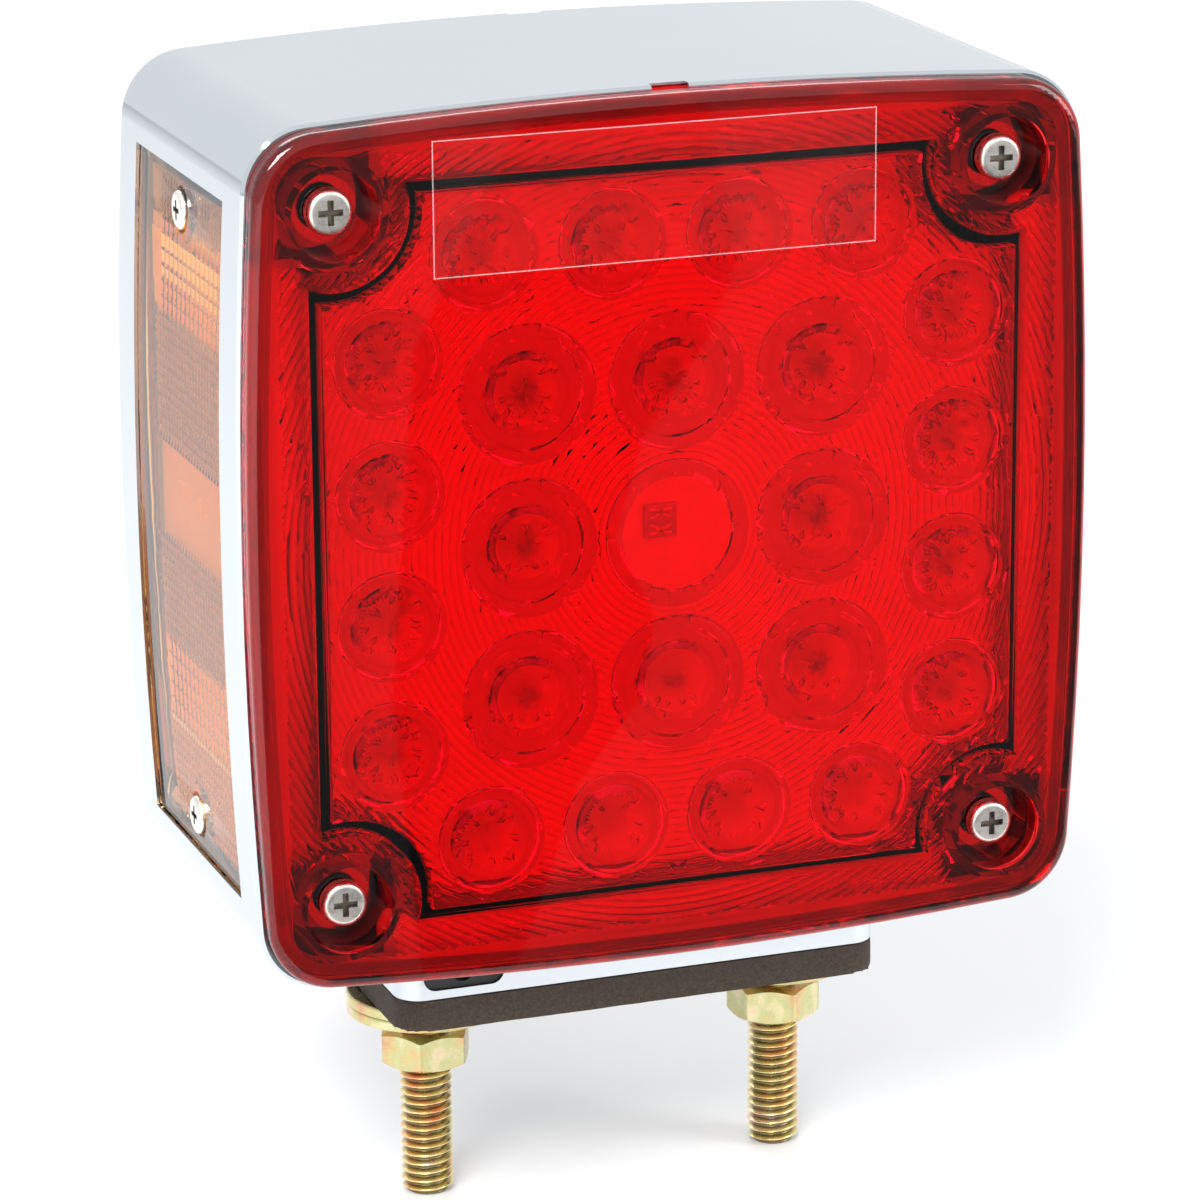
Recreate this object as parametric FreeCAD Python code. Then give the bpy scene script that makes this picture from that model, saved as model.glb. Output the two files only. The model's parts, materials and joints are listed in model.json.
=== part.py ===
"""Two-face square pedestal lamp for a trailer fender: red lens one way, amber the other.

Units are millimetres. +Z is up, -Y is the way the red lens faces, -X is the side with the
amber marker lens. The origin is the centre of the rubber pad's bottom face, which is where
the lamp sits on its bracket. Every function builds its piece around the centre of the lens
face (z = 0 there), and save() lifts the result to its place above the pad.
"""
import FreeCAD
import Part
import math
import os

V = FreeCAD.Vector

# ---- housing -------------------------------------------------------------------------
HOUSING_HALF = 65.1          # half width and half height at the middle of a side
BOW = 2.4                    # how far a side's middle stands out past its ends
CORNER_R = 10.0
WALL = 2.0
DEPTH_HALF = 31.7            # half the depth of the chrome ring
EDGE_CHAMFER = 0.45          # along both rims of the ring
NOTCH_WIDTH = 5.6            # pry notch at the middle of the top edge, on both faces
NOTCH_DEPTH = 1.6
OVERLAP = 0.5                # how far joined shapes run into each other before they are fused
PAST = 1.0                   # how far a cut runs past the face it opens

# ---- lens ----------------------------------------------------------------------------
LENS_HALF = 64.4
LENS_FRONT = 35.3            # distance from the middle of the lamp to a lens face
LENS_BACK = 31.9
LENS_EDGE_ROUND = 1.5
LENS_PLATE = 2.4
SKIRT_CLEARANCE = 0.3
SKIRT_WALL = 1.7
SKIRT_END = 29.4
SCREW_HALF = 50.8            # lens screws on a 4 in square
RECESS_R = 6.55
RECESS_TUBE_R = 8.2
RECESS_FLOOR = 30.8
TUBE_END = 28.8
SCREW_CLEAR_R = 2.0
RIB_HALF = 54.6              # sealing rib, tray wall and gasket share this outline
RIB_WALL = 1.8
RIB_CORNER_R = 11.2
RIB_END = 28.4
GASKET_THICK = 1.0

# ---- face screws (no. 6 pan head) ------------------------------------------------------
FACE_SCREW_R = 1.72
FACE_SCREW_HEAD_R = 3.4
FACE_SCREW_HEAD_H = 2.0
FACE_SCREW_LENGTH = 14.0
PHILLIPS_ARM = 3.6
PHILLIPS_WIDTH = 0.9
PHILLIPS_DEPTH = 1.2
HEAD_ROUND = 0.45            # share of a screw head's height that its rim rounding takes
SIDE_CROSS = 0.8             # size of a side screw's cross against a face screw's
PILOT_GAP = 0.04

# ---- tray and light board ----------------------------------------------------------------
BOSS_R = 7.5                 # housing's corner boss, and its thinner end
BOSS_END_R = 4.8
BOSS_SHOULDER = 18.5
BOSS_END = 28.6
BOSS_WEB = 12.5              # length of the web that ties a boss to the ring's corner
TRAY_FLOOR = 1.5
TRAY_EAR_R = 7.4             # ears that lie on the shoulders of the housing's corner bosses
TRAY_EAR_WIDTH = 6.0
TRAY_HOLE_GAP = 0.4
BOARD_FRONT = 25.4
BOARD_THICK = 1.6
BOARD_HALF = 52.0
BOARD_CORNER_R = 13.8
POST_AT = 36.5
POST_R = 3.0
STAKE_R = 1.4
STAKE_HEIGHT = 0.6
STAKE_GAP = 0.05
LED_SIZE = 5.0
LED_HEIGHT = 0.9
LED_DOME_R = 1.6
INNER_PITCH = 22.6           # 3 by 3 grid of the larger optics
OUTER_RING = 43.3            # the 16 smaller optics stand this far from the centre
OUTER_STEPS = (9.62, 28.86)
CHIP_PARTS = ((-34.0, 5.6), (-17.0, 5.6), (0.0, 5.6), (17.0, 5.6), (34.0, 5.6))
CHIP_ROWS = (-15.0, 5.0, 22.0)
CHIP_PART_SIZE = (3.2, 0.6, 1.6)

# ---- side marker ---------------------------------------------------------------------------
WINDOW_Y = 22.7
WINDOW_Z = 51.5
SIDE_GAP = 0.3
SIDE_INSET = 0.6             # the side lens lies this far under the chrome
SIDE_PLATE = 2.4
SIDE_SKIRT_WALL = 1.8
SIDE_SKIRT_END = 60.4
SIDE_GASKET = 0.6
SIDE_TRAY = 1.2
SIDE_TRAY_LAP = (1.5, -2.0)  # how far the side tray reaches past the window, along Y and along Z
SIDE_SCREW_Z = 45.8
SIDE_RECESS_R = 3.5
SIDE_RECESS_FLOOR = 62.4
SIDE_BOSS_R = 4.8
SIDE_BOSS_LIP = 0.4          # plastic left under a side screw's head
SIDE_SCREW_R = 1.6
SIDE_SCREW_HEAD_R = 2.9
SIDE_SCREW_HEAD_H = 1.6
SIDE_SCREW_LENGTH = 12.0
SIDE_BOARD = (1.0, 30.0, 22.0)
SIDE_BOARD_Z = 2.5
SIDE_LED_Y = (-4.8, 4.8)
SIDE_LED_SIZE = (0.6, 2.8, 2.8)
REFLEX_PLATE = (0.55, 36.0)
UPPER_REFLEX_Z = (28.5, 40.0)
LOWER_REFLEX_Z = (-35.0, -21.0)
REFLEX_FACE = 60.98

# ---- pedestal, plate, pad -------------------------------------------------------------------
PEDESTAL_X = 38.3
PEDESTAL_Y = 19.1
PEDESTAL_R = 4.0
PEDESTAL_WALL = 3.0
PEDESTAL_BOTTOM = -72.5
PEDESTAL_TOP = -62.0
CAVITY_TOP = -57.1           # the pedestal's cavity opens into the ring
PLATE_X = 35.1
PLATE_Y = 13.5
PLATE_R = 2.0
PLATE_THICK = 2.5
PLATE_SCREW_X = 12.0
PLATE_SCREW_Y = 10.5
PLATE_SCREW_R = 1.9
PLATE_SCREW_HEAD_R = 3.6
PLATE_SCREW_LENGTH = 8.5
PLATE_BLOCK = 3.8
SLOT_X = (-34.8, -22.2)
SLOT_Z = (-71.2, -65.7)
SLOT_R = 2.0
SLOT_FOOT = 0.2              # least wall left under the slot and the grommet's flange
GROMMET_SINK = 0.5
GROMMET_FIT = 0.05
GROMMET_FLANGE = 1.5
GROMMET_LIP = 0.9
GROMMET_END_GAP = 2.3        # the inner flange is cut back from the pedestal's end wall
LEAD_HOLE_R = 1.9
PAD_X = 38.5
PAD_Y = 19.2
PAD_R = 4.2
PAD_THICK = 5.0
PAD_HOLE_R = 4.3

# ---- studs, washers, nuts (5/16-18) ------------------------------------------------------------
INCH = 25.4
STUD_PITCH = 2.25 * INCH
STUD_R = 0.3125 * INCH / 2
STUD_END = -110.6
STUD_CHAMFER = 1.0
HEAD_FLATS = 0.5 * INCH
HEAD_HEIGHT = 5.2
HEAD_TURN = 30.0             # a flat faces the pedestal's end wall
WASHER_R = 12.0
WASHER_HOLE_R = 4.6
WASHER_THICK = 1.6
WASHER_GAP = 0.1
WASHER_CHAMFER = 0.2
NUT_FLATS = 0.5 * INCH
NUT_HEIGHT = 5.6
NUT_TOP = -83.85
NUT_BORE_GAP = 0.05
NUT_CHAMFER = 0.6
NUT_TURN = {"left": -54.3, "right": -84.6}   # where one corner of each nut points, in degrees from +X

# ---- clear label on the red lens ------------------------------------------------------------------
LABEL_X = (-36.8, 30.0)
LABEL_Z = (40.8, 60.4)
LABEL_THICK = 0.15

LENS_CENTRE = -(PEDESTAL_BOTTOM - PAD_THICK)   # height of the lens centre above the pad's face
BIG = 200.0


# ---- shapes used by several pieces -----------------------------------------------------------------
def box(x, y, z):
    """Box from three (low, high) pairs."""
    return Part.makeBox(x[1] - x[0], y[1] - y[0], z[1] - z[0], V(x[0], y[0], z[0]))


def rod(x, z, radius, y0, y1):
    """Cylinder along Y."""
    return Part.makeCylinder(radius, abs(y1 - y0), V(x, min(y0, y1), z), V(0, 1, 0))


def post(x, y, radius, z0, z1):
    """Cylinder along Z."""
    return Part.makeCylinder(radius, z1 - z0, V(x, y, z0), V(0, 0, 1))


def side_rod(z, radius, x0, x1):
    """Cylinder along X on the lamp's mid-plane."""
    return Part.makeCylinder(radius, x1 - x0, V(x0, 0, z), V(1, 0, 0))


def fuse(shapes):
    first = shapes[0]
    return first.fuse(shapes[1:]).removeSplitter() if len(shapes) > 1 else first


def corners(half):
    return [(sx * half, sz * half) for sx in (-1, 1) for sz in (-1, 1)]


def bowed_slab(half, radius, y0, y1):
    """Square with slightly bowed sides and round corners, extruded from y0 to y1."""
    c = half - BOW
    points = [(-c, -c), (c, -c), (c, c), (-c, c)]
    mids = [(0, -half), (half, 0), (0, half), (-half, 0)]
    edges = []
    for i, mid in enumerate(mids):
        a = points[i]
        b = points[(i + 1) % 4]
        edges.append(Part.Arc(V(a[0], y0, a[1]), V(mid[0], y0, mid[1]), V(b[0], y0, b[1])).toShape())
    solid = Part.Face(Part.Wire(edges)).extrude(V(0, y1 - y0, 0))
    along_y = [e for e in solid.Edges if abs(e.BoundBox.YLength - abs(y1 - y0)) < 1e-6]
    return solid.makeFillet(radius, along_y)


def hollow_square(half, radius, y0, y1):
    """Plate outline that keeps a round bay clear around each corner screw."""
    reach = half - SCREW_HALF
    start = SCREW_HALF - math.sqrt(radius ** 2 - reach ** 2)
    bay = SCREW_HALF - radius / math.sqrt(2)
    edges = []
    turns = ((1, 1), (1, -1), (-1, -1), (-1, 1))
    for sx, sz in turns:
        ends = (V(sx * start, y0, sz * half), V(sx * half, y0, sz * start))
        first, last = ends if sx == sz else ends[::-1]
        edges.append(Part.Arc(first, V(sx * bay, y0, sz * bay), last).toShape())
    for i in range(4):
        a = edges[i].lastVertex(True).Point
        b = edges[(i + 1) % 4].firstVertex(True).Point
        edges.append(Part.LineSegment(a, b).toShape())
    wire = Part.Wire(Part.__sortEdges__(edges))
    return Part.Face(wire).extrude(V(0, y1 - y0, 0))


def rib_ring(y0, y1, wall=RIB_WALL, gap=0.0):
    outer = hollow_square(RIB_HALF - gap, RIB_CORNER_R + gap, y0, y1)
    inner = hollow_square(RIB_HALF - wall + gap, RIB_CORNER_R + wall - gap, y0, y1)
    return outer.cut(inner)


def round_block(half_x, half_y, radius, z0, z1):
    solid = box((-half_x, half_x), (-half_y, half_y), (z0, z1))
    upright = [e for e in solid.Edges if abs(e.BoundBox.ZLength - (z1 - z0)) < 1e-6]
    return solid.makeFillet(radius, upright)


def slot_block(grow, y0, y1):
    """The pedestal's wire slot, as a block with rounded ends."""
    low_z = max(SLOT_Z[0] - grow, PEDESTAL_BOTTOM + SLOT_FOOT)
    solid = box((SLOT_X[0] - grow, SLOT_X[1] + grow), (y0, y1), (low_z, SLOT_Z[1] + grow))
    along_y = [e for e in solid.Edges if abs(e.BoundBox.YLength - (y1 - y0)) < 1e-6]
    return solid.makeFillet(SLOT_R, along_y)


def hexagon(x, flats, z0, z1, turn):
    radius = flats / math.sqrt(3)
    points = []
    for i in range(7):
        a = math.radians(turn + 60 * i)
        points.append(V(x + radius * math.cos(a), radius * math.sin(a), z0))
    return Part.Face(Part.makePolygon(points)).extrude(V(0, 0, z1 - z0))


def chamfered_hexagon(x, flats, z0, z1, turn, chamfer):
    """Hexagon with its corners turned off at both ends."""
    corner = flats / math.sqrt(3)
    slope = corner - flats / 2
    cone = Part.makeCone(flats / 2, corner + slope, chamfer * 2, V(x, 0, z0))
    body = Part.makeCylinder(corner + slope, z1 - z0 - chamfer * 2, V(x, 0, z0 + chamfer * 2))
    cone_top = Part.makeCone(corner + slope, flats / 2, chamfer * 2, V(x, 0, z1 - chamfer * 2))
    body_top = Part.makeCylinder(corner + slope, z1 - z0 - chamfer * 2, V(x, 0, z0))
    solid = hexagon(x, flats, z0, z1, turn)
    return solid.common(fuse([cone, body])).common(fuse([body_top, cone_top]))


def other_face(shape):
    """The same piece on the amber side."""
    return shape.mirror(V(0, 0, 0), V(0, 1, 0))


def optic_places():
    places = [(i * INNER_PITCH, j * INNER_PITCH) for i in (-1, 0, 1) for j in (-1, 0, 1)]
    for step in OUTER_STEPS:
        for sa in (-1, 1):
            for sb in (-1, 1):
                places.append((sa * step, sb * OUTER_RING))
                places.append((sb * OUTER_RING, sa * step))
    return places


# ---- housing ---------------------------------------------------------------------------------------
def housing():
    outer = bowed_slab(HOUSING_HALF, CORNER_R, -DEPTH_HALF, DEPTH_HALF)
    rims = [e for e in outer.Edges if e.BoundBox.YLength < 1e-6]
    outer = outer.makeChamfer(EDGE_CHAMFER, rims)
    pedestal = round_block(PEDESTAL_X, PEDESTAL_Y, PEDESTAL_R, PEDESTAL_BOTTOM, PEDESTAL_TOP)
    body = outer.fuse(pedestal).removeSplitter()
    inner_half = HOUSING_HALF - WALL
    body = body.cut(bowed_slab(inner_half, CORNER_R - WALL, -DEPTH_HALF - PAST, DEPTH_HALF + PAST))
    cavity = round_block(PEDESTAL_X - PEDESTAL_WALL, PEDESTAL_Y - PEDESTAL_WALL,
                         PEDESTAL_R - PEDESTAL_WALL / 2, PEDESTAL_BOTTOM - PAST, CAVITY_TOP)
    body = body.cut(cavity)
    body = fuse([body] + plate_blocks() + corner_bosses())
    return body.cut(fuse(housing_cuts()))


def plate_blocks():
    """Blocks inside the pedestal that the base plate is screwed to."""
    blocks = []
    low = PEDESTAL_BOTTOM + PLATE_THICK
    for sx in (-1, 1):
        for sy in (-1, 1):
            x = sx * PLATE_SCREW_X
            near = PLATE_SCREW_Y - PLATE_BLOCK
            far = PEDESTAL_Y - PEDESTAL_WALL / 2
            y = (near, far) if sy > 0 else (-far, -near)
            blocks.append(box((x - PLATE_BLOCK, x + PLATE_BLOCK), y, (low, PEDESTAL_TOP)))
    return blocks


def corner_bosses():
    """Stepped bosses for the lens screws, each webbed to the ring's corner."""
    bosses = []
    for x, z in corners(SCREW_HALF):
        bosses.append(rod(x, z, BOSS_R, -BOSS_SHOULDER, BOSS_SHOULDER))
        bosses.append(rod(x, z, BOSS_END_R, -BOSS_END, BOSS_END))
        web = box((0, BOSS_WEB), (-BOSS_SHOULDER, BOSS_SHOULDER), (-WALL / 2, WALL / 2))
        web.rotate(V(0, 0, 0), V(0, 1, 0), math.degrees(math.atan2(-z, x)))
        web.translate(V(x, 0, z))
        bosses.append(web)
    return bosses


def housing_cuts():
    cuts = []
    pilot = FACE_SCREW_R + PILOT_GAP
    depth = BOSS_END - FACE_SCREW_LENGTH
    for x, z in corners(SCREW_HALF):
        cuts.append(rod(x, z, pilot, -BOSS_END - PAST, -depth))
        cuts.append(rod(x, z, pilot, depth, BOSS_END + PAST))
    cuts.append(box((-BIG, -SIDE_SKIRT_END), (-WINDOW_Y, WINDOW_Y), (-WINDOW_Z, WINDOW_Z)))
    for sz in (-1, 1):
        tip = -SIDE_RECESS_FLOOR + SIDE_SCREW_LENGTH + PAST
        cuts.append(side_rod(sz * SIDE_SCREW_Z, SIDE_SCREW_R + PILOT_GAP, -SIDE_SKIRT_END, tip))
    for sy in (-1, 1):
        y = (DEPTH_HALF - NOTCH_DEPTH, DEPTH_HALF + PAST)
        y = y if sy > 0 else (-y[1], -y[0])
        cuts.append(box((-NOTCH_WIDTH / 2, NOTCH_WIDTH / 2), y, (HOUSING_HALF - BOW - WALL, BIG)))
    cuts.append(slot_block(0, -PEDESTAL_Y - PAST, -PEDESTAL_Y + PEDESTAL_WALL + PAST))
    for x, y in plate_screw_places():
        low = PEDESTAL_BOTTOM + PLATE_THICK - PAST
        cuts.append(post(x, y, PLATE_SCREW_R + PILOT_GAP, low, PEDESTAL_BOTTOM + PLATE_SCREW_LENGTH))
    return cuts


def plate_screw_places():
    return [(sx * PLATE_SCREW_X, sy * PLATE_SCREW_Y) for sx in (-1, 1) for sy in (-1, 1)]


# ---- pedestal pieces ---------------------------------------------------------------------------------
def base_plate():
    top = PEDESTAL_BOTTOM + PLATE_THICK
    plate = round_block(PLATE_X, PLATE_Y, PLATE_R, PEDESTAL_BOTTOM, top)
    holes = [post(sx * STUD_PITCH / 2, 0, STUD_R + PILOT_GAP, PEDESTAL_BOTTOM - PAST, top + PAST)
             for sx in (-1, 1)]
    for x, y in plate_screw_places():
        holes.append(plate_screw(x, y, PILOT_GAP))
    return plate.cut(fuse(holes))


def plate_screw(x, y, gap=0.0):
    """Countersunk screw that holds the base plate up into the housing."""
    head_r = PLATE_SCREW_HEAD_R + gap
    shank_r = PLATE_SCREW_R + gap
    sink = head_r - shank_r
    head = Part.makeCone(head_r, shank_r, sink, V(x, y, PEDESTAL_BOTTOM))
    top = PEDESTAL_BOTTOM + PLATE_SCREW_LENGTH
    return fuse([head, post(x, y, shank_r, PEDESTAL_BOTTOM + sink, top)])


def base_screws():
    return Part.makeCompound([plate_screw(x, y) for x, y in plate_screw_places()])


def stud(side):
    x = side * STUD_PITCH / 2
    under_head = PEDESTAL_BOTTOM + PLATE_THICK
    shank = post(x, 0, STUD_R, STUD_END, under_head)
    tip = [e for e in shank.Edges if e.BoundBox.ZMax < STUD_END + 1e-6]
    shank = shank.makeChamfer(STUD_CHAMFER, tip)
    head = chamfered_hexagon(x, HEAD_FLATS, under_head, under_head + HEAD_HEIGHT, HEAD_TURN, NUT_CHAMFER)
    return fuse([shank, head])


def rubber_pad():
    low = PEDESTAL_BOTTOM - PAD_THICK
    pad = round_block(PAD_X, PAD_Y, PAD_R, low, PEDESTAL_BOTTOM)
    holes = [post(sx * STUD_PITCH / 2, 0, PAD_HOLE_R, low - PAST, PEDESTAL_BOTTOM + PAST) for sx in (-1, 1)]
    return pad.cut(fuse(holes))


def washer(side, place):
    x = side * STUD_PITCH / 2
    top = PEDESTAL_BOTTOM - PAD_THICK - WASHER_GAP - place * WASHER_THICK
    disc = post(x, 0, WASHER_R, top - WASHER_THICK, top)
    disc = disc.makeChamfer(WASHER_CHAMFER, [e for e in disc.Edges if e.BoundBox.ZLength < 1e-6])
    return disc.cut(post(x, 0, WASHER_HOLE_R, top - WASHER_THICK - PAST, top + PAST))


def nut(side, turn):
    x = side * STUD_PITCH / 2
    low = NUT_TOP - NUT_HEIGHT
    body = chamfered_hexagon(x, NUT_FLATS, low, NUT_TOP, turn, NUT_CHAMFER)
    return body.cut(post(x, 0, STUD_R + NUT_BORE_GAP, low - PAST, NUT_TOP + PAST))


def wire_grommet():
    face = -PEDESTAL_Y + GROMMET_SINK
    inside = -PEDESTAL_Y + PEDESTAL_WALL
    plug = slot_block(-GROMMET_FIT, face, inside)
    flange = slot_block(GROMMET_LIP, inside, inside + GROMMET_FLANGE)
    end = -PEDESTAL_X + PEDESTAL_WALL + GROMMET_END_GAP
    flange = flange.common(box((end, BIG), (-BIG, BIG), (-BIG, BIG)))
    x = sum(SLOT_X) / 2
    z = sum(SLOT_Z) / 2
    return fuse([plug, flange]).cut(rod(x, z, LEAD_HOLE_R, face - PAST, inside + GROMMET_FLANGE + PAST))


# ---- face lenses and what holds them -------------------------------------------------------------------
def face_lens():
    plate = bowed_slab(LENS_HALF, CORNER_R, -LENS_FRONT, -LENS_BACK)
    rim = [e for e in plate.Edges if e.BoundBox.YMax < -LENS_FRONT + 1e-6]
    plate = plate.makeFillet(LENS_EDGE_ROUND, rim)
    skirt_half = HOUSING_HALF - WALL - SKIRT_CLEARANCE
    skirt_r = CORNER_R - WALL - SKIRT_CLEARANCE
    inner_half = skirt_half - SKIRT_WALL
    inner_r = skirt_r - SKIRT_WALL
    back_of_plate = -LENS_FRONT + LENS_PLATE
    skirt = bowed_slab(skirt_half, skirt_r, -LENS_BACK - OVERLAP, -SKIRT_END)
    pocket = bowed_slab(inner_half, inner_r, back_of_plate, -SKIRT_END + PAST)
    body = plate.fuse(skirt).cut(pocket)
    tubes = [rod(x, z, RECESS_TUBE_R, back_of_plate - OVERLAP, -TUBE_END) for x, z in corners(SCREW_HALF)]
    rib = rib_ring(back_of_plate - OVERLAP, -RIB_END)
    body = fuse([body, rib] + tubes)
    cuts = []
    for x, z in corners(SCREW_HALF):
        cuts.append(rod(x, z, RECESS_R, -LENS_FRONT - PAST, -RECESS_FLOOR))
        cuts.append(rod(x, z, SCREW_CLEAR_R, -LENS_FRONT - PAST, -TUBE_END + PAST))
    return body.cut(fuse(cuts))


def face_gasket():
    return rib_ring(-RIB_END, -RIB_END + GASKET_THICK)


def face_screws():
    screws = []
    for x, z in corners(SCREW_HALF):
        tip = -RECESS_FLOOR + FACE_SCREW_LENGTH
        head_face = -RECESS_FLOOR - FACE_SCREW_HEAD_H
        shank = rod(x, z, FACE_SCREW_R, -RECESS_FLOOR, tip)
        head = rod(x, z, FACE_SCREW_HEAD_R, head_face, -RECESS_FLOOR)
        rim = [e for e in head.Edges if e.BoundBox.YMax < head_face + 1e-6]
        head = head.makeFillet(FACE_SCREW_HEAD_H * HEAD_ROUND, rim)
        arm = PHILLIPS_ARM / 2
        half = PHILLIPS_WIDTH / 2
        deep = (head_face - PAST, head_face + PHILLIPS_DEPTH)
        cross = [box((x - arm, x + arm), deep, (z - half, z + half)),
                 box((x - half, x + half), deep, (z - arm, z + arm))]
        screws.append(fuse([shank, head]).cut(fuse(cross)))
    return Part.makeCompound(screws)


def light_tray():
    """White tub that carries the board, and shuts the face's light in."""
    back = -BOSS_SHOULDER
    floor = hollow_square(RIB_HALF, RIB_CORNER_R, back - TRAY_FLOOR, back)
    wall = rib_ring(-RIB_END + GASKET_THICK, back - TRAY_FLOOR / 2)
    board_back = -BOARD_FRONT + BOARD_THICK
    parts = [floor, wall] + tray_ears(back - TRAY_FLOOR, back)
    for x, z in corners(POST_AT):
        parts.append(rod(x, z, POST_R, board_back, back - TRAY_FLOOR / 2))
        parts.append(rod(x, z, STAKE_R, -BOARD_FRONT - STAKE_HEIGHT, board_back + PAST))
    body = fuse(parts)
    holes = [rod(x, z, BOSS_END_R + TRAY_HOLE_GAP, back - TRAY_FLOOR - PAST, back + PAST)
             for x, z in corners(SCREW_HALF)]
    return body.cut(fuse(holes))


def tray_ears(y0, y1):
    ears = []
    for x, z in corners(SCREW_HALF):
        ears.append(rod(x, z, TRAY_EAR_R, y0, y1))
        strap = box((0, RIB_CORNER_R + RIB_WALL), (y0, y1), (-TRAY_EAR_WIDTH / 2, TRAY_EAR_WIDTH / 2))
        strap.rotate(V(0, 0, 0), V(0, 1, 0), math.degrees(math.atan2(z, -x)))
        strap.translate(V(x, 0, z))
        ears.append(strap)
    return ears


def light_board():
    board = hollow_square(BOARD_HALF, BOARD_CORNER_R, -BOARD_FRONT, -BOARD_FRONT + BOARD_THICK)
    holes = [rod(x, z, STAKE_R + STAKE_GAP, -BOARD_FRONT - PAST, -BOARD_FRONT + BOARD_THICK + PAST)
             for x, z in corners(POST_AT)]
    return board.cut(fuse(holes))


def face_leds():
    leds = []
    half = LED_SIZE / 2
    for x, z in optic_places():
        package = box((x - half, x + half), (-BOARD_FRONT - LED_HEIGHT, -BOARD_FRONT), (z - half, z + half))
        dome = Part.makeSphere(LED_DOME_R, V(x, -BOARD_FRONT - LED_HEIGHT, z))
        leds.append(package.fuse(dome.cut(box((-BIG, BIG), (-BOARD_FRONT - LED_HEIGHT, BIG), (-BIG, BIG)))))
    return Part.makeCompound(leds)


def board_parts():
    """Resistors and drivers on the back of a light board."""
    parts = []
    length, height, width = CHIP_PART_SIZE
    back = -BOARD_FRONT + BOARD_THICK
    for z in CHIP_ROWS:
        for x, gap in CHIP_PARTS:
            parts.append(box((x, x + length), (back, back + height), (z, z + width)))
            parts.append(box((x, x + length), (back, back + height), (z + gap, z + gap + width)))
    return Part.makeCompound(parts)


def clear_label():
    face = -LENS_FRONT
    return box(LABEL_X, (face - LABEL_THICK, face), LABEL_Z)


# ---- side marker -----------------------------------------------------------------------------------------
def side_slab(inset):
    return bowed_slab(HOUSING_HALF - inset, CORNER_R, -DEPTH_HALF, DEPTH_HALF)


def side_block(y_half, z_half, x0, x1):
    return box((x0, x1), (-y_half, y_half), (-z_half, z_half))


def side_lens():
    y_half = WINDOW_Y - SIDE_GAP
    z_half = WINDOW_Z - SIDE_GAP
    body = side_block(y_half, z_half, -BIG, -SIDE_SKIRT_END).common(side_slab(SIDE_INSET))
    pocket = side_block(y_half - SIDE_SKIRT_WALL, z_half - SIDE_SKIRT_WALL, -BIG, -SIDE_SKIRT_END + PAST)
    body = body.cut(pocket.common(side_slab(SIDE_INSET + SIDE_PLATE)))
    for sz in (-1, 1):
        z = sz * SIDE_SCREW_Z
        body = body.fuse(side_rod(z, SIDE_BOSS_R, -SIDE_RECESS_FLOOR - SIDE_BOSS_LIP, -SIDE_SKIRT_END))
        body = body.cut(side_rod(z, SIDE_RECESS_R, -BIG, -SIDE_RECESS_FLOOR))
        body = body.cut(side_rod(z, SIDE_SCREW_R + SIDE_GAP, -BIG, 0))
    return body


def side_gasket():
    y_half = WINDOW_Y - SIDE_GAP
    z_half = WINDOW_Z - SIDE_GAP
    span = (-SIDE_SKIRT_END, -SIDE_SKIRT_END + SIDE_GASKET)
    ring = side_block(y_half, z_half, *span)
    return ring.cut(side_block(y_half - SIDE_SKIRT_WALL, z_half - SIDE_SKIRT_WALL, *span))


def side_tray():
    front = -SIDE_SKIRT_END + SIDE_GASKET
    lap_y, lap_z = SIDE_TRAY_LAP
    plate = side_block(WINDOW_Y + lap_y, WINDOW_Z + lap_z, front, front + SIDE_TRAY)
    hole = (SIDE_SCREW_R + SIDE_GAP, front - PAST, front + SIDE_TRAY + PAST)
    for sz in (-1, 1):
        plate = plate.cut(side_rod(sz * SIDE_SCREW_Z, *hole))
    return plate


def side_screws():
    screws = []
    for sz in (-1, 1):
        z = sz * SIDE_SCREW_Z
        floor = -SIDE_RECESS_FLOOR
        top = floor - SIDE_SCREW_HEAD_H
        head = side_rod(z, SIDE_SCREW_HEAD_R, top, floor)
        rim = [e for e in head.Edges if e.BoundBox.XMax < top + 1e-6]
        head = head.makeFillet(SIDE_SCREW_HEAD_H * HEAD_ROUND, rim)
        screw = fuse([head, side_rod(z, SIDE_SCREW_R, floor, floor + SIDE_SCREW_LENGTH)])
        arm = PHILLIPS_ARM / 2 * SIDE_CROSS
        half = PHILLIPS_WIDTH / 2 * SIDE_CROSS
        deep = (top - PAST, top + PHILLIPS_DEPTH * SIDE_CROSS)
        screw = screw.cut(box(deep, (-arm, arm), (z - half, z + half)))
        screws.append(screw.cut(box(deep, (-half, half), (z - arm, z + arm))))
    return Part.makeCompound(screws)


def side_board():
    back = -SIDE_SKIRT_END + SIDE_GASKET
    thick, wide, tall = SIDE_BOARD
    z = (SIDE_BOARD_Z - tall / 2, SIDE_BOARD_Z + tall / 2)
    return box((back - thick, back), (-wide / 2, wide / 2), z)


def side_leds():
    front = -SIDE_SKIRT_END + SIDE_GASKET - SIDE_BOARD[0]
    thick, wide, tall = SIDE_LED_SIZE
    leds = []
    for y in SIDE_LED_Y:
        z = (SIDE_BOARD_Z - tall / 2, SIDE_BOARD_Z + tall / 2)
        leds.append(box((front - thick, front), (y - wide / 2, y + wide / 2), z))
    return Part.makeCompound(leds)


def reflex_back(z_span):
    """White backing sheet behind one of the side lens's reflector fields."""
    thick, wide = REFLEX_PLATE
    return box((-REFLEX_FACE, -REFLEX_FACE + thick), (-wide / 2, wide / 2), z_span)


# ---- writing the pieces ------------------------------------------------------------------------------
def save(name, shape):
    shape = shape.copy()
    shape.translate(V(0, 0, LENS_CENTRE))
    shape.exportStep(os.path.join("parts", name + ".step"))


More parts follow.
